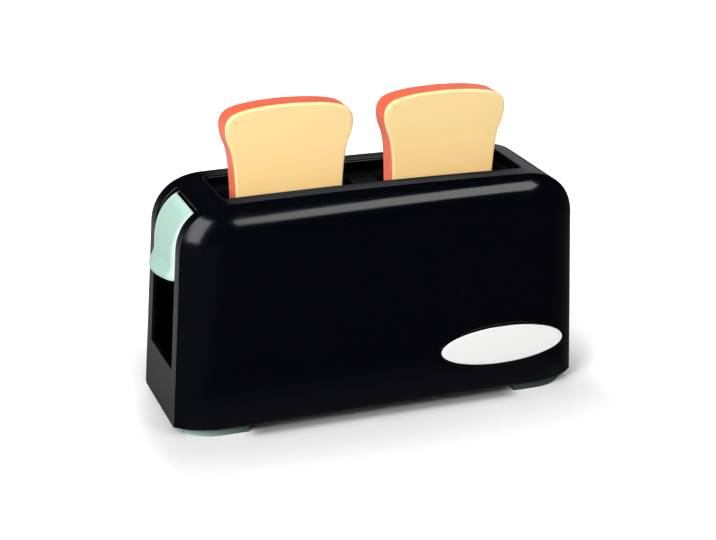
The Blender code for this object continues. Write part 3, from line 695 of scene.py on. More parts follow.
def copy_at(piece, name, matrix):
    """A copy of a piece with its own mesh, moved to a place."""
    twin = piece.copy()
    twin.data = piece.data.copy()
    twin.name = name
    twin.data.name = name
    bpy.context.collection.objects.link(twin)
    twin.data.transform(matrix)
    return twin


def make_guide(works, form):
    """The bread guide: a plate under the slot with a walled window for each slice."""
    low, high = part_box("slot_guide")
    plate_low, wall, past = high.z - 0.0014, 0.0012, 0.004
    half_x, half_y = form.sizes.slot_length / 2 + rim_reach, form.sizes.slot_width / 2 + rim_reach
    window_x, window_y, window_corner = 0.02905, 0.0079, 0.002
    collar_x, collar_y, collar_drop = slice_pitch / 2 + window_x + wall, window_y + wall, 0.0007
    ear_x, ear_y, ear_z = 0.0035, 0.023, low.z + 0.002
    ledge_x, ledge_y, ledge_z = max(middle_x - low.x, high.x - middle_x), 0.006, low.z + 0.003
    guide = block("bread_guide", at(-half_x, -half_y, plate_low), at(half_x, half_y, high.z))
    tools = [block("collar", at(-collar_x, -collar_y, low.z),
                   at(collar_x, collar_y, high.z - collar_drop))]
    cutters = []
    for side in (-1, 1):
        for x in (-screw_x, screw_x):
            tools.append(block("ear", at(x - ear_x, side * (collar_y - wall / 2), low.z),
                               at(x + ear_x, side * ear_y, ear_z)))
        tools.append(block("ledge", at(side * (collar_x - wall / 2), -ledge_y, low.z),
                           at(side * ledge_x, ledge_y, ledge_z)))
        x = side * slice_pitch / 2
        window = block("window", at(x - window_x, -window_y, low.z - past),
                       at(x + window_x, window_y, high.z + past))
        edit(window, "EDGE")
        choose(window, "edges", lambda edge: abs(edge.verts[0].co.z - edge.verts[1].co.z) > 0.001)
        bevel_selected(window_corner, 5)
        close_edit()
        cutters += [window, post("bore", side * works.rod_from_middle, 0, low.z - past,
                                 low.z + 0.008, works.rod_radius + play)]
        cutters += [post("hole", x, side * guide_screw_y, low.z - past, low.z + 0.006,
                         works.screw_radius + play) for x in (-screw_x, screw_x)]
    carve(guide, "UNION", *tools)
    bridge = slice_pitch / 2 - window_x - wall
    carve(guide, "DIFFERENCE", *cutters,
          block("bridge", at(-bridge, -window_y, low.z - past), at(bridge, window_y, plate_low)))
    round_edges(guide, 0.0003, 3)
    return shade(guide)


def make_round(name, kind, rounding, segments, bore=None):
    """A guide rod, or with a bore a push-on cap that is hollow below. Its ends are rounded."""
    low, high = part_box(name)
    x, radius = (low.x + high.x) / 2, (high.y - low.y) / 2
    piece = bar(f"{name}_{kind}", (x, 0, low.z), (x, 0, high.z), radius, 48)
    if bore:
        carve(piece, "DIFFERENCE", bar("hole", (x, 0, low.z - 0.002), (x, 0, high.z - 0.001), bore))
    round_edges(piece, rounding, segments)
    return shade(piece)


def make_spring(name, works):
    """A return spring as one wire, with a shut curl at each end."""
    low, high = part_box(name)
    x = (low.x + high.x) / 2
    foot, top = low.z + works.spring_wire / 2, high.z - works.spring_wire / 2
    curls, end_pitch, steps = works.spring_curls, 0.0015, 24
    open_pitch = (top - foot - 2 * end_pitch) / (curls - 2)
    name += "_wire"
    curve = bpy.data.curves.new(name, "CURVE")
    curve.dimensions = "3D"
    curve.bevel_depth = works.spring_wire / 2
    curve.bevel_resolution = 4
    curve.use_fill_caps = True
    line = curve.splines.new("POLY")
    line.points.add(curls * steps)
    for number, point in enumerate(line.points):
        turn = number / steps
        ends = min(turn, 1) + max(turn - curls + 1, 0)
        z = foot + ends * end_pitch + (turn - ends) * open_pitch
        angle = 2 * math.pi * turn
        point.co = (x + works.spring_radius * math.cos(angle),
                    works.spring_radius * math.sin(angle), z, 1)
    piece = bpy.data.objects.new(name, curve)
    bpy.context.collection.objects.link(piece)
    pick(piece)
    bpy.ops.object.convert(target="MESH")
    bpy.ops.object.shade_smooth_by_angle(angle=math.radians(50))
    return named(name)


def make_carriage(works):
    """The lift's tray on its two sleeves, with rails round the slices and a pad for the lever."""
    low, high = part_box("lift_carriage")
    rod, tray_y, tray_low, tray_top = works.rod_from_middle, 0.0085, 0.062, 0.0644
    root, past, sleeve = tray_top - 0.0012, 0.004, 0.004
    rail_x, rail_inner, rail_outer, rail_top = 0.0627, 0.0069, 0.0083, tray_top + 0.005
    rib_from_slice, rib_x, rib_y, rib_top = 0.02418, 0.0007, 0.0076, tray_top + 0.0025
    arm_y, arm_end, pad_x, pad_y, pad_wall = 0.0035, 0.002, low.x - middle_x, high.y, 0.0025
    pad_low, pad_top = tray_low + 0.0012, 0.0785
    carriage = block("bread_lift", at(-rod, -tray_y, tray_low), at(rod, tray_y, tray_top))
    tools = []
    for side in (-1, 1):
        tools.append(block("rail", at(-rail_x, side * rail_inner, root),
                           at(rail_x, side * rail_outer, rail_top)))
        for way in (-1, 1):
            x = side * slice_pitch / 2 + way * rib_from_slice
            tools.append(block("rib", at(x - rib_x, -rib_y, root), at(x + rib_x, rib_y, rib_top)))
        tools.append(post("sleeve", side * rod, 0, low.z, high.z, sleeve))
    tools.append(block("arm", at(pad_x + pad_wall / 2, -arm_y, tray_low),
                       at(arm_end - rod, arm_y, lever_screw_z)))
    tools.append(block("pad", at(pad_x, -pad_y, pad_low), at(pad_x + pad_wall, pad_y, pad_top)))
    carve(carriage, "UNION", *tools)
    bores = [post("bore", x, 0, low.z - past, high.z + past, works.rod_radius + play)
             for x in (-rod, rod)]
    bores += [bar("hole", at(pad_x - past, y, lever_screw_z),
                  at(pad_x + 2 * pad_wall, y, lever_screw_z), works.screw_radius + play)
              for y in (-lever_screw_y, lever_screw_y)]
    carve(carriage, "DIFFERENCE", *bores)
    round_edges(carriage, 0.0002, 2)
    return shade(carriage)


def rounded(inward, width, depth):
    """How far a rounded edge sinks at a distance from the edge."""
    share = min(inward / width, 1)
    return depth * (1 - math.sqrt(share * (2 - share)))


def make_lever(form, sizes):
    """The thumb lever: a curved skin that follows the casing's end and flares into a thin shelf."""
    top_x = form.half_length - form.sizes.channel_over_top + sizes.top_gap
    top = form.outline_z(top_x, sizes.top_sink)
    inner_limit = form.outline_z(top_x, sizes.top_sink + sizes.wall)
    full = sizes.bottom + 0.0101
    flare_top = sizes.bottom + 0.0012 + sizes.flare
    foot_round, columns, upper_rows, lower_rows = 0.0006, 44, 22, 12

    def stand(z):
        """How far the lever stands out from the casing's outline."""
        down = min(max((top - z) / (top - full), 0), 1)
        return (sizes.proud + sizes.top_sink) * down ** 0.7 - sizes.top_sink

    def row(z, drawn_in):
        half_width = form.channel_y(z) - sizes.side_gap
        front_x = form.outline_x(z, -stand(z)) - drawn_in
        inner_z = min(z, inner_limit)
        inner_x = max(form.outline_x(inner_z, sizes.wall - stand(z)), top_x)
        flared = min(max((flare_top - z) / sizes.flare, 0), 1)
        flared = flared * flared * (3 - 2 * flared)
        from_top = math.hypot(form.outline_x(z, 0) - form.outline_x(top, 0), top - z)
        top_round = rounded(from_top + 0.0001, sizes.top_round, sizes.top_round)
        front, back = [], []
        for step in range(columns + 1):
            across = math.sin(math.pi * (step / columns - 1 / 2))
            side_round = rounded(half_width * (1 - abs(across)), sizes.side_width, sizes.side_round)
            reach = sizes.reach * flared * (1 - across ** 2) - math.hypot(top_round, side_round)
            front.append((-front_x - reach, half_width * across, z))
            back.append((-inner_x, half_width * across, inner_z))
        return front + back[::-1]

    heights = [top + (flare_top - top) * math.sin(math.pi / 2 * step / upper_rows) ** 1.4
               for step in range(upper_rows + 1)]
    heights += [flare_top - (flare_top - sizes.bottom - foot_round) * step / lower_rows
                for step in range(1, lower_rows + 1)]
    rows = [row(z, 0) for z in heights]
    rows += [row(sizes.bottom + foot_round * (1 - outward), foot_round * inward)
             for inward, outward in quarter_steps(4)[1:]]
    piece = lay_grid("lever_shell", rows)
    round_edges(piece, 0.00035, 3, 55)
    stem_out, stem_in, stem_y, stem_low, stem_top = -0.0881, -0.0799, 0.011, 0.0006, 0.0126
    hole_out, hole_in, hole_radius = -0.0854, -0.0779, 0.0015
    carve(piece, "UNION", block("stem", at(stem_out, -stem_y, sizes.bottom + stem_low),
                                at(stem_in, stem_y, sizes.bottom + stem_top)))
    carve(piece, "DIFFERENCE", *(bar("hole", at(hole_out, y, lever_screw_z),
                                     at(hole_in, y, lever_screw_z), hole_radius)
                                 for y in (-lever_screw_y, lever_screw_y)))
    return shade(piece)


def slice_outline(sizes, steps=7):
    """A slice's outline from its foot round its crown, in shares of its half width and height."""
    half = [(0.812, 0.00), (0.826, 0.25), (0.845, 0.50), (0.868, 0.625), (0.908, 0.72),
            (0.975, 0.795), (1.00, 0.862), (0.968, 0.919), (0.83, 0.963), (0.48, 0.990),
            (0.00, 1.00)]
    knots = [Vector((x * sizes.width / 2, z * sizes.height)) for x, z in half]
    chain = [knots[0] * 2 - knots[1]] + knots + [knots[-1] * 2 - knots[-2]]
    curve = []
    for a, b, c, d in zip(chain, chain[1:], chain[2:], chain[3:]):
        for step in range(steps):
            t = step / steps
            curve.append((b * 2 + (c - a) * t + (a * 2 - b * 5 + c * 4 - d) * t ** 2
                          + (b * 3 - a - c * 3 + d) * t ** 3) / 2)
    return curve + [knots[-1]]


def make_slice(body, sizes):
    """One slice of play bread: the orange shell and the cream front that plugs into it."""
    low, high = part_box(f"{body}_back")
    front_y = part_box(f"{body}_face")[0].y
    middle_z, slice_x = low.z + sizes.height / 2, (low.x + high.x) / 2 - middle_x
    right = slice_outline(sizes)

    def loop(inset, depth):
        across, along = 1 - inset / (sizes.width / 2), 1 - inset / (sizes.height / 2)
        half = [(v.x * across, middle_z + (v.y - sizes.height / 2) * along) for v in right]
        return ([(slice_x + x, front_y + depth, z) for x, z in half]
                + [(slice_x - x, front_y + depth, z) for x, z in half[-2::-1]])

    front, back, shell, edge = sizes.front, sizes.thickness, sizes.shell, sizes.back_edge
    plug, lip, face_lip = 0.0012, 0.0002, 0.00015
    shell_rows = [loop(shell, back - shell), loop(shell, front + play),
                  loop(lip, front + play), loop(0, front + play + lip)]
    shell_rows += [loop(edge * inward, back - edge + edge * outward)
                   for inward, outward in quarter_steps(6)]
    crust = shade(lay_grid(f"{body}_crust", shell_rows), 50)

    rows = [loop(shell + play, front + plug), loop(shell + play, front),
            loop(face_lip, front), loop(0, front - face_lip)]
    rows += [loop(sizes.front_edge * inward, (front - face_lip) * (1 - outward))
             for inward, outward in quarter_steps(7)[1:]]
    return shade(lay_grid(f"{body}_crumb", rows), 50), crust


class Value:
    """A shader value. A sum on it adds a Math node to its tree."""

    def __init__(self, nodes, socket):
        self.nodes = nodes
        self.socket = socket

    def maths(self, operation, *values):
        return self.nodes.add("ShaderNodeMath", {"operation": operation}, dict(enumerate(values)))

    def __add__(self, other):
        return self.maths("ADD", self, other)

    def __radd__(self, other):
        return self.maths("ADD", other, self)

    def __sub__(self, other):
        return self.maths("SUBTRACT", self, other)

    def __rsub__(self, other):
        return self.maths("SUBTRACT", other, self)

    def __mul__(self, other):
        return self.maths("MULTIPLY", self, other)

    def __rmul__(self, other):
        return self.maths("MULTIPLY", other, self)

    def __abs__(self):
        return self.maths("ABSOLUTE", self)


class Nodes:
    """The nodes of a finish or of the room light."""

    def __init__(self, tree):
        self.tree = tree

    def add(self, kind, settings=None, values=None, output=0):
        """One node of a kind: its settings first, then the values or links of its sockets."""
        node = self.tree.nodes.new(kind)
        for key, value in (settings or {}).items():
            if key == "stops":
                ramp = node.color_ramp.elements
                while len(ramp) < len(value):
                    ramp.new(0.5)
                for stop, (position, shade_of_grey) in zip(ramp, value):
                    stop.position = position
                    stop.color = (shade_of_grey,) * 3 + (1,)
            else:
                setattr(node, key, value)
        for key, value in (values or {}).items():
            self.give(node.inputs[key], value)
        return Value(self, node.outputs[output])

    def give(self, socket, value):
        """Link a value to a socket, or set the socket to a number or a colour."""
        if isinstance(value, Value):
            self.tree.links.new(value.socket, socket)
        elif socket.type == "RGBA" and len(value) == 3:
            socket.default_value = (*value, 1)
        else:
            socket.default_value = value

    def axes(self, place, names="XYZ"):
        return [self.add("ShaderNodeSeparateXYZ", None, {0: place}, name) for name in names]

    def rays(self, *kinds):
        return [self.add("ShaderNodeLightPath", output=f"Is {kind} Ray") for kind in kinds]

    def vector(self, operation, first, second=(0, 0, 0), output="Vector"):
        return self.add("ShaderNodeVectorMath", {"operation": operation}, {0: first, 1: second},
                        output)

    def ramp(self, value, *stops):
        """Greys between stops. The value and the places of the stops run from 0 to 1."""
        return self.add("ShaderNodeValToRGB", {"stops": stops}, {"Fac": value}, "Color")

    def blend(self, factor, first, second):
        """A colour between two colours."""
        return self.add("ShaderNodeMix", {"data_type": "RGBA", "clamp_factor": True},
                        {0: factor, 6: first, 7: second}, 2)


class Recipe(Nodes):
    """A finish in the making. Steady values are set on its shader, and the rest are nodes."""

    def __init__(self, name, **steady):
        self.finish = bpy.data.materials.new(name)
        self.finish.use_nodes = True
        super().__init__(self.finish.node_tree)
        self.shader = self.tree.nodes["Principled BSDF"]
        for key, value in steady.items():
            self.set(key.replace("_", " ").title().replace("Ior", "IOR"), value)
        self.place = self.add("ShaderNodeTexCoord", output="Object")

    def set(self, name, value):
        """Set one of the shader's own sockets, or link it."""
        self.give(self.shader.inputs[name], value)

    def noise(self, scale, detail=2, stretch=None):
        place = self.place
        if stretch:
            place = self.add("ShaderNodeMapping", None, {"Vector": place, "Scale": stretch},
                             "Vector")
        values = {"Vector": place, "Scale": scale, "Detail": detail, "Roughness": 0.55}
        return self.add("ShaderNodeTexNoise", None, values, "Fac")

    def bump(self, height, strength, distance):
        values = {"Height": height, "Strength": strength, "Distance": distance}
        self.set("Normal", self.add("ShaderNodeBump", None, values, "Normal"))


def tinted(base, *shares):
    """A colour with its channels scaled, all by one share or each by its own."""
    return tuple(min(channel * share, 1) for channel, share in zip(base, shares * 3))


def mixed(steady, values, shares):
    """A number plus a share of each value."""
    for value, share in zip(values, shares):
        if share:
            steady = steady + value * share
    return steady


def moulded(name, noises, roughness, relief, bump, **steady):
    """Start a moulded plastic: its noises, each a scale and a detail, vary its gloss and relief."""
    recipe = Recipe(name, **steady)
    patterns = [recipe.noise(scale, detail) for scale, detail in noises]
    recipe.set("Roughness", mixed(roughness[0], patterns, roughness[1:]))
    recipe.bump(mixed(0, patterns, relief), *bump)
    return recipe, patterns


def glossy_casing(base):
    """Glossy moulded plastic: a slow swell, faint haze, fine hairlines, a little dust and wear."""
    recipe = Recipe("glossy_casing", specular_ior_level=0.024)
    haze = recipe.noise(34, 3)
    dust = recipe.ramp(recipe.noise(1900, 1), (0.74, 0), (0.80, 1))
    along = recipe.ramp(abs(recipe.noise(60, 2, (1, 26, 9)) - 0.5), (0.0, 1), (0.004, 0))
    across = recipe.ramp(abs(recipe.noise(52, 2, (22, 3, 1)) - 0.47), (0.0, 1), (0.003, 0))
    patches = recipe.ramp(recipe.noise(48, 2), (0.52, 0), (0.68, 1))
    hairlines = (along + across) * patches
    side, = recipe.axes(recipe.place, "X")
    wear_and_painted_highlight = recipe.ramp(side + 0.1, (0.02, 1), (0.13, 0.3), (0.16, 0.4), (0.18, 0.9))
    recipe.set("Roughness", 0.05 + wear_and_painted_highlight * 0.1 + haze * 0.02 + hairlines * 0.08 + dust * 0.3)
    pale = dust * 0.35 + hairlines * 0.03
    recipe.set("Base Color", recipe.blend(pale, base, (0.08, 0.08, 0.085)))
    recipe.bump(haze * 0.8 + recipe.noise(420, 1) * 0.05, 0.10, 0.0006)


def satin_inner(base):
    """Satin moulded plastic with a fine spark-eroded grain."""
    recipe, (cloud, _) = moulded("satin_inner", ((60, 3), (2600, 2)), (0.34, 0.14, 0.08),
                                 (0.5, 1), (0.12, 0.0001), specular_ior_level=0.012)
    recipe.set("Base Color", recipe.blend(cloud, tinted(base, 0.85), tinted(base, 1.4)))


def badge_plastic(base):
    """White plastic with a barely clouded gloss."""
    recipe, (cloud, _) = moulded("badge_plastic", ((90, 3), (2800, 2)), (0.27, 0.1, 0.05),
                                 (1, 0.15), (0.06, 0.0002), specular_ior_level=0.03)
    recipe.set("Base Color", recipe.blend(cloud, tinted(base, 0.985), tinted(base, 1.015)))


def mint_plastic(base):
    """Mint plastic with a slow swell, painted highlights on the lever's edges, painted shade on its
    shelf, and painted light and shade on the feet.
    """
    recipe, (cloud, _) = moulded("mint_plastic", ((45, 3), (2200, 2)), (0.34, 0.1, 0.05),
                                 (0.7, 0.12), (0.10, 0.0003), specular_ior_level=0.2,
                                 subsurface_weight=0.06, subsurface_scale=0.002)
    flow = recipe.noise(30, 3, (1, 3, 0.35))
    specks = recipe.ramp(recipe.noise(1500, 1), (0.76, 0), (0.8, 1))
    tint = recipe.blend(flow * 0.6 + cloud * 0.4, tinted(base, 0.96), tinted(base, 1.035))
    along, across, up = recipe.axes(recipe.place)
    on_lever = recipe.ramp(up, (0.05, 0), (0.06, 1))

    form, lever = CasingForm(), sizes_of("lever")
    # Painted highlight: a pale mint along the lever's two sides and its top edge.
    edge = (form.sizes.channel_width / 2 - lever.side_gap
            - (up - form.sizes.channel_sill) * form.band_lean)
    top = middle_x - form.half_length + form.sizes.channel_over_top - lever.top_gap
    near = recipe.ramp(edge + across, (0.0016, 1), (0.0028, 0))
    far = recipe.ramp(edge - across, (0.0016, 1), (0.0024, 0))
    above = recipe.ramp(top - along, (0.0001, 0.6), (0.0006, 0))
    wear_and_painted_highlight = (1 - (1 - near) * (1 - far) * (1 - above)) * on_lever
    # Painted shade: the lever's lower part, round its thumb shelf, is darkened.
    painted_shelf_shade = on_lever * recipe.ramp(up, (0.067, 0.4), (0.075, 0))
    tint = recipe.blend(painted_shelf_shade, tint, tinted(base, 0.75))
    tint = recipe.blend(wear_and_painted_highlight * 0.6, tint, (0.70, 0.90, 0.80))

    # Painted light and shade on the feet: the left foot is lit at its outer end and darker towards
    # its inner end, the right foot is evenly dark, and both are darkest along their tops under the
    # casing's edge.
    offset = 0.1  # keeps the ramp's stops above 0
    low, high = (corner.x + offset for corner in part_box("foot_left"))
    painted_foot_light = recipe.ramp(along + offset, (low + 0.003, 0.9), (low + 0.017, 0.35), (high, 0.1),
                      (2 * offset - high, 0.2))
    painted_foot_light *= recipe.ramp(up, (casing_foot - 0.0009, 1), (casing_foot - 0.0004, 0.1)) * (1 - on_lever)
    tint = recipe.blend(painted_foot_light + on_lever, (0, 0, 0), tint)
    recipe.set("Base Color", recipe.blend(specks * 0.25, tint, tinted(base, 0.7)))


def bread_plastic(name, base, noises, dull, tints, low, painted_light_heights, specular, glow):
    """Moulded bread with a soft mottle and a barely pebbled face, and painted light low down."""
    recipe, (cloud, mottle, _) = moulded(
        name, noises, (dull, 0.08, 0, 0.08), (0, 0.6, 0.4), (0.12, 0.00012),
        specular_ior_level=specular, subsurface_weight=glow, subsurface_scale=0.002)
    up, = recipe.axes(recipe.place, "Z")
    tint = recipe.blend(cloud * 0.6 + mottle * 0.4, *(tinted(base, *shares) for shares in tints))
    # Painted light: below these heights the colour is scaled by the low shares.
    painted_low_light = recipe.ramp(up, (painted_light_heights[0], 1), (painted_light_heights[1], 0))
    recipe.set("Base Color", recipe.blend(painted_low_light, tint, tinted(base, *low)))


def crumb_plastic(base):
    """The cream front."""
    # Painted bounce light: the cream front is warmer low down.
    bread_plastic("crumb_plastic", base, ((55, 3), (340, 3), (2100, 2)), 0.36,
                  ((0.975,), (1, 1.02, 1.06)), (1.05, 0.95, 0.86), (0.095, 0.12), 0.08, 0.08)


def crust_plastic(base):
    """The orange shell."""
    # Painted light and sheen: the crust is paler and pinker low down.
    bread_plastic("crust_plastic", base, ((70, 3), (420, 3), (2300, 2)), 0.30,
                  ((0.94,), (1, 1.12, 1.12)), (1.1647, 1.7, 2.2), (0.118, 0.129), 0.12, 0.10)


def drawn_steel(base):
    """Bright steel with fine drawing marks and a duller bloom."""
    recipe = Recipe("drawn_steel", metallic=1.0)
    marks = recipe.noise(900, 2, (1, 1, 0.08))
    bloom = recipe.noise(160, 3)
    recipe.set("Roughness", 0.22 + bloom * 0.14 + marks * 0.12)
    recipe.set("Base Color", recipe.blend(bloom, tinted(base, 0.8), tinted(base, 1.15)))
    recipe.bump(marks, 0.08, 0.00004)


def pale_floor(base):
    """A pale floor that reads white away from the toy's shadow, and gives the toy little bounce."""
    recipe = Recipe("pale_floor", specular_ior_level=0.0)
    cloud = recipe.noise(3, 2)
    recipe.set("Roughness", 0.9 + cloud * 0.05)
    seen, shiny, through = recipe.rays("Camera", "Glossy", "Transmission")
    across, back = recipe.axes(recipe.place, "XY")
    half_x, half_y, _ = ((high - low) / 2 for low, high in zip(*frame_box))
    beyond = recipe.vector("SUBTRACT", recipe.vector("ABSOLUTE", recipe.place), (half_x, half_y, 0))
    beyond = recipe.vector("MULTIPLY", recipe.vector("MAXIMUM", beyond), (2.5, 1, 0))
    away = recipe.vector("LENGTH", beyond, output="Value")

    # The painted shadow where the toy nearly touches the floor, between its feet, for the camera
    # alone
    first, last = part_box("foot_left")[1].x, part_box("foot_right")[0].x
    strip = recipe.ramp(0.05 - half_y - back,
                        (0.02, 0), (0.024, 0.8), (0.05, 0.8), (0.0515, 0.65), (0.0555, 0))
    between = recipe.ramp(across + 0.1, (first + 0.098, 0), (first + 0.104, 1),
                          (last + 0.096, 1), (last + 0.102, 0))
    shown = recipe.blend(strip * between, base, tinted(base, 0.1))
    recipe.set("Base Color", recipe.blend(seen + cloud * 0.005, tinted(base, 0.3), shown))

    # The light that the floor adds as a painted glow: white far from the toy, brighter at the toy's
    # left, and bright in the toy's gloss as painted reflections
    left = recipe.ramp(across * -1, (0.085, 0.05), (0.12, 0.75))
    front = recipe.ramp(back * -1, (0.03, 0), (0.034, 1), (0.05, 0.7), (0.08, 0))
    front *= recipe.ramp(abs(across), (0.095, 1), (0.11, 0)) * 1.6
    for_camera = left * recipe.ramp(back + 0.05, (0.03, 0), (0.07, 0.7)) + recipe.ramp(
        away, (0.006, 0), (0.016, 0.05), (0.03, 0.13), (0.075, 0.44), (0.5, 0.9))
    in_gloss = left * recipe.ramp(back + 0.05, (0.05, 1), (0.1, 0.8)) + front
    lift = recipe.add("ShaderNodeEmission", None,
                      {"Color": seen * for_camera + (shiny + through) * in_gloss})
    surface = Value(recipe, recipe.shader.outputs[0])
    both = recipe.add("ShaderNodeAddShader", None, {0: lift, 1: surface})
    recipe.give(recipe.tree.nodes["Material Output"].inputs["Surface"], both)


finishes = {
    "casing_black": (glossy_casing, "casing", "gloss"),
    "inner_dark": (satin_inner, "casing", "inner"),
    "mint": (mint_plastic, "lever", "mint"),
    "badge_white": (badge_plastic, "badge", "white"),
    "bread_cream": (crumb_plastic, "bread", "cream"),
    "crust_orange": (crust_plastic, "bread", "orange"),
    "steel": (drawn_steel, "works", "steel"),
    "floor": (pale_floor, "stage", "floor"),
}


def finish_for(slot):
    """The finish of a material slot, made once and then shared."""
    maker, group, key = finishes[slot]
    if maker.__name__ not in bpy.data.materials:
        maker(tuple(getattr(sizes_of(group), key)))
    return bpy.data.materials[maker.__name__]


class TOASTER_OT_casing(bpy.types.Operator):
    """Model the glossy casing, the badge and the raised line round it"""
    bl_idname = "toaster.casing"
    bl_label = "Casing and badge"

    def execute(self, context):
        form = CasingForm()
        casing = make_casing_shell(form)
        badge, surround, cutter = make_badge_pieces(form, sizes_of("badge"))
        carve(casing, "DIFFERENCE", cutter)
        dress(shade(casing), "casing", "casing_black", "casing")
        dress(shade(badge), "casing", "badge_white", "badge")
        dress(shade(surround), "casing", "casing_black")
        return {"FINISHED"}


class TOASTER_OT_base(bpy.types.Operator):
    """Model the base plate and the two mint feet"""
    bl_idname = "toaster.base"
    bl_label = "Base and feet"

    def execute(self, context):
        form = CasingForm()
        dress(make_base(form, sizes_of("works")), "casing", "inner_dark", "base_plate")
        for side, name in ((-1, "foot_left"), (1, "foot_right")):
            dress(make_foot_skid(name, side, form), "casing", "mint", name)
        return {"FINISHED"}


class TOASTER_OT_works(bpy.types.Operator):
    """Model the bread guide, the rods, their caps and the springs"""
    bl_idname = "toaster.works"
    bl_label = "Guide, rods and springs"

    def execute(self, context):
        works = sizes_of("works")
        dress(make_guide(works, CasingForm()), "casing", "inner_dark", "slot_guide")
        for word in ("left", "right"):
            rod, cap, spring = f"guide_rod_{word}", f"rod_cap_{word}", f"return_spring_{word}"
            dress(make_round(rod, "bar", 0.0003, 3), "casing", "steel", rod)
            dress(make_round(cap, "button", 0.0005, 4, works.rod_radius + play), "casing",
                  "inner_dark", cap)
            wire = dress(make_spring(spring, works), "casing", "steel", spring)
            low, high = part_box(spring)
            height = high.z - low.z
            (height - lift_travel) / height
            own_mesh(wire)
        return {"FINISHED"}


class TOASTER_OT_lift(bpy.types.Operator):
    """Model the lift's tray and the thumb lever on it"""
    bl_idname = "toaster.lift"
    bl_label = "Lift and lever"

    def execute(self, context):
        dress(make_carriage(sizes_of("works")), "lift", "inner_dark", "lift_carriage")
        dress(make_lever(CasingForm(), sizes_of("lever")), "lift", "mint", "thumb_lever")
        return {"FINISHED"}


class TOASTER_OT_screws(bpy.types.Operator):
    """Model one screw of each length and copy it to its places"""
    bl_idname = "toaster.screws"
    bl_label = "Screws"

    def execute(self, context):
        works = sizes_of("works")
        head = works.screw_head_height
        tipped = Matrix.Rotation(-math.pi / 2, 4, "Y")
        for kind, count, body, first_turn in (("base", 4, "casing", 0), ("guide", 4, "casing", 0.4),
                                              ("lever", 2, "lift", 0)):
            low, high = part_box(f"{kind}_screw_1")
            pattern = make_screw("screw_pattern", max(high - low) - head, works)
            for number in range(1, count + 1):
                node = f"{kind}_screw_{number}"
                low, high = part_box(node)
                spot, turn = (low + high) / 2, Matrix.Rotation(0.7 * number + first_turn, 4, "Z")
                if kind == "lever":
                    spot.x = high.x - head
                    turn = tipped @ turn
                else:
                    spot.z = low.z + head
                screw = copy_at(pattern, f"{kind}_fixing_{number}", Matrix.Translation(spot) @ turn)
                dress(screw, body, "steel", node)
            bpy.data.objects.remove(pattern)
        return {"FINISHED"}


class TOASTER_OT_bread(bpy.types.Operator):
    """Model the two slices of play bread"""
    bl_idname = "toaster.bread"
    bl_label = "Play bread"

    def execute(self, context):
        for body in ("slice_left", "slice_right"):
            crumb, crust = make_slice(body, sizes_of("bread"))
            dress(crumb, body, "bread_cream", f"{body}_face")
            dress(crust, body, "crust_orange", f"{body}_back")
            crumb.visible_glossy = crust.visible_glossy = False
        return {"FINISHED"}


def light_room(scene):
    """Light the room: evenly for the toy's plain colours, with a sweep of light in its gloss."""
    scene.world = bpy.data.worlds.new("room")
    scene.world.use_nodes = True
    room = Nodes(scene.world.node_tree)
    seen, shiny, through = room.rays("Camera", "Glossy", "Transmission")
    across, back, up = room.axes(room.add("ShaderNodeTexCoord", output="Generated"))
    card = (room.ramp(up, (0.38, 1), (0.42, 0))
            * room.ramp(across - back * 0.27, (0.0, 0), (0.008, 1))
            * room.ramp(back * 1.2 - across, (0.0, 0), (0.1, 1)))
    low_edge = room.ramp(back - up * 2.83, (0.0, 1), (0.03, 0))
    right_part = room.ramp(across - back * 0.5, (0.0, 0), (0.03, 1))
    sweep = card * (1 - (1 - low_edge) * (1 - right_part))
    dusk = room.ramp(up, (0.0, 0.35), (0.12, 0.2), (0.26, 0.03))
    in_gloss = sweep * (0.45 + up * 2.3) + (1 - sweep) * dusk
    plain = (1 - seen - shiny - through) * sizes_of("stage").room
    background = room.tree.nodes["Background"].inputs
    room.give(background["Color"], (1, 1, 1))
    room.give(background["Strength"], seen + (shiny + through) * in_gloss + plain)


def keep_in_shade(lamp, piece):
    """Keep a lamp's light off a piece, as a flag in front of it would."""
    shaded = bpy.data.collections.new(lamp.name + "_shade")
    shaded.objects.link(piece)
    for link in shaded.collection_objects:
        link.light_linking.link_state = "EXCLUDE"
    lamp.light_linking.receiver_collection = shaded


def add_lamp(name, spot, target, width, depth, roll, watts, in_gloss):
    """A soft lamp that points at a target. It either shows in gloss or gives all other light."""
    select_none()
    aim = (target - spot).to_track_quat("-Z", "Y").to_matrix()
    turn = aim @ Matrix.Rotation(math.radians(roll), 3, "Z")
    bpy.ops.object.light_add(type="AREA", location=spot, rotation=turn.to_euler())
    lamp = bpy.context.object
    lamp.name = name
    lamp.data.shape = "RECTANGLE"
    lamp.data.size, lamp.data.size_y = width, depth
    lamp.data.energy = watts
    lamp.visible_camera = False
    lamp.visible_glossy = in_gloss
    lamp.visible_diffuse = not in_gloss
    return lamp


def add_lamps(stage):
    """Add each large lamp, and just in front of it the lamp that gives its look in gloss."""
    middle, distance, in_front = Vector((0, 0, 0.08)), 1.22, 1.2
    for word, azimuth, elevation, width, depth, roll, watts, shine in (
            ("left", -128, 29, 0.49, 1.0, -8, stage.lamp_left, stage.shine_left),
            ("right", 146, 45.5, 0.72, 0.30, 12, stage.lamp_right, stage.shine_right),
            ("back", 15, 55, 0.8, 0.8, 0, stage.lamp_back, 0)):
        turn, rise = math.radians(azimuth), math.radians(elevation)
        way = Vector((math.sin(turn) * math.cos(rise), math.cos(turn) * math.cos(rise),
                      math.sin(rise)))
        lamp = add_lamp(f"lamp_{word}", middle + way * distance, middle, width, depth, roll, watts,
                        False)
        keep_in_shade(lamp, bpy.data.objects["foot_right_skid"])
        if shine:
            add_lamp(f"shine_{word}", middle + way * in_front, middle, width, depth, roll, shine,
                     True)


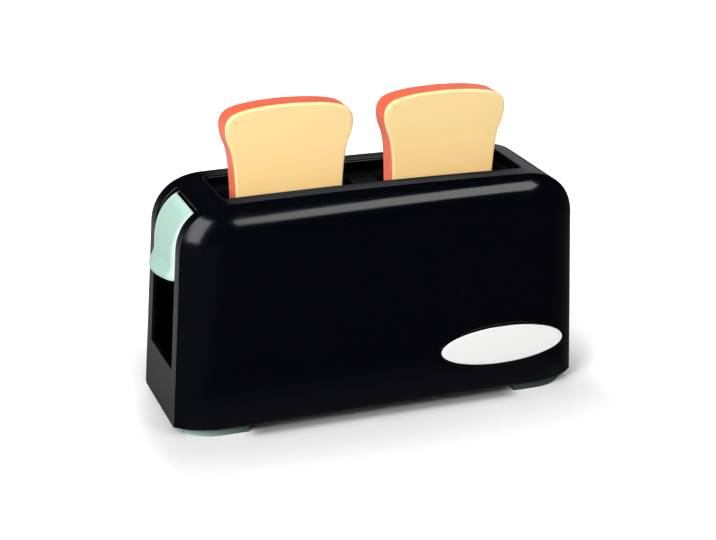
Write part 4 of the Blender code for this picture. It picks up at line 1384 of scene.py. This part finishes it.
def add_camera(scene):
    """Stand the camera where the photograph was taken from."""
    yaw, pitch, roll = (math.radians(angle) for angle in (21.3027, 21.6119, 1.1513))
    turn = (Matrix.Rotation(-yaw, 3, "Z") @ Matrix.Rotation(math.pi / 2 - pitch, 3, "X")
            @ Matrix.Rotation(roll, 3, "Z"))
    select_none()
    bpy.ops.object.camera_add(location=(-0.247016, -0.630549, 0.322568), rotation=turn.to_euler())
    scene.camera = bpy.context.object
    lens = scene.camera.data
    lens.lens, lens.sensor_width, lens.clip_start = 83.7973, 36, 0.01


class TOASTER_OT_stage(bpy.types.Operator):
    """Set the floor, the lamps, the room light and the camera"""
    bl_idname = "toaster.stage"
    bl_label = "Stage"

    def execute(self, context):
        select_none()
        bpy.ops.mesh.primitive_plane_add(size=8)
        floor = named("floor")
        floor.data.materials.append(finish_for("floor"))
        light_room(context.scene)
        add_lamps(sizes_of("stage"))
        add_camera(context.scene)
        context.scene.view_settings.view_transform = "Standard"
        return {"FINISHED"}


class TOASTER_PT_panel(bpy.types.Panel):
    """Lists the toaster's pieces in the sidebar"""
    bl_label = "Toaster"
    bl_idname = "TOASTER_PT_panel"
    bl_space_type = "VIEW_3D"
    bl_region_type = "UI"
    bl_category = "Toaster"

    def draw(self, context):
        for operator in operators:
            self.layout.operator(operator.bl_idname)
        for name in groups:
            box = self.layout.box()
            sizes = sizes_of(name)
            for key in sizes.bl_rna.properties.keys():
                if key not in ("rna_type", "name"):
                    box.prop(sizes, key)


groups = {"casing": CasingSizes, "badge": BadgeSizes, "lever": LeverSizes,
          "bread": BreadSizes, "works": WorksSizes, "stage": StageSizes}
operators = (TOASTER_OT_casing, TOASTER_OT_base, TOASTER_OT_works, TOASTER_OT_lift,
             TOASTER_OT_screws, TOASTER_OT_bread, TOASTER_OT_stage)


def register():
    for name, group in groups.items():
        bpy.utils.register_class(group)
        setattr(bpy.types.Scene, "toaster_" + name, PointerProperty(type=group))
    for kind in (*operators, TOASTER_PT_panel):
        bpy.utils.register_class(kind)


def unregister():
    for kind in (TOASTER_PT_panel, *operators[::-1]):
        bpy.utils.unregister_class(kind)
    for name, group in reversed(groups.items()):
        delattr(bpy.types.Scene, "toaster_" + name)
        bpy.utils.unregister_class(group)


def main():
    register()
    for make in (bpy.ops.toaster.casing, bpy.ops.toaster.base, bpy.ops.toaster.works,
                 bpy.ops.toaster.lift, bpy.ops.toaster.screws, bpy.ops.toaster.bread,
                 bpy.ops.toaster.stage):
        make()


if __name__ == "__main__":
    main()
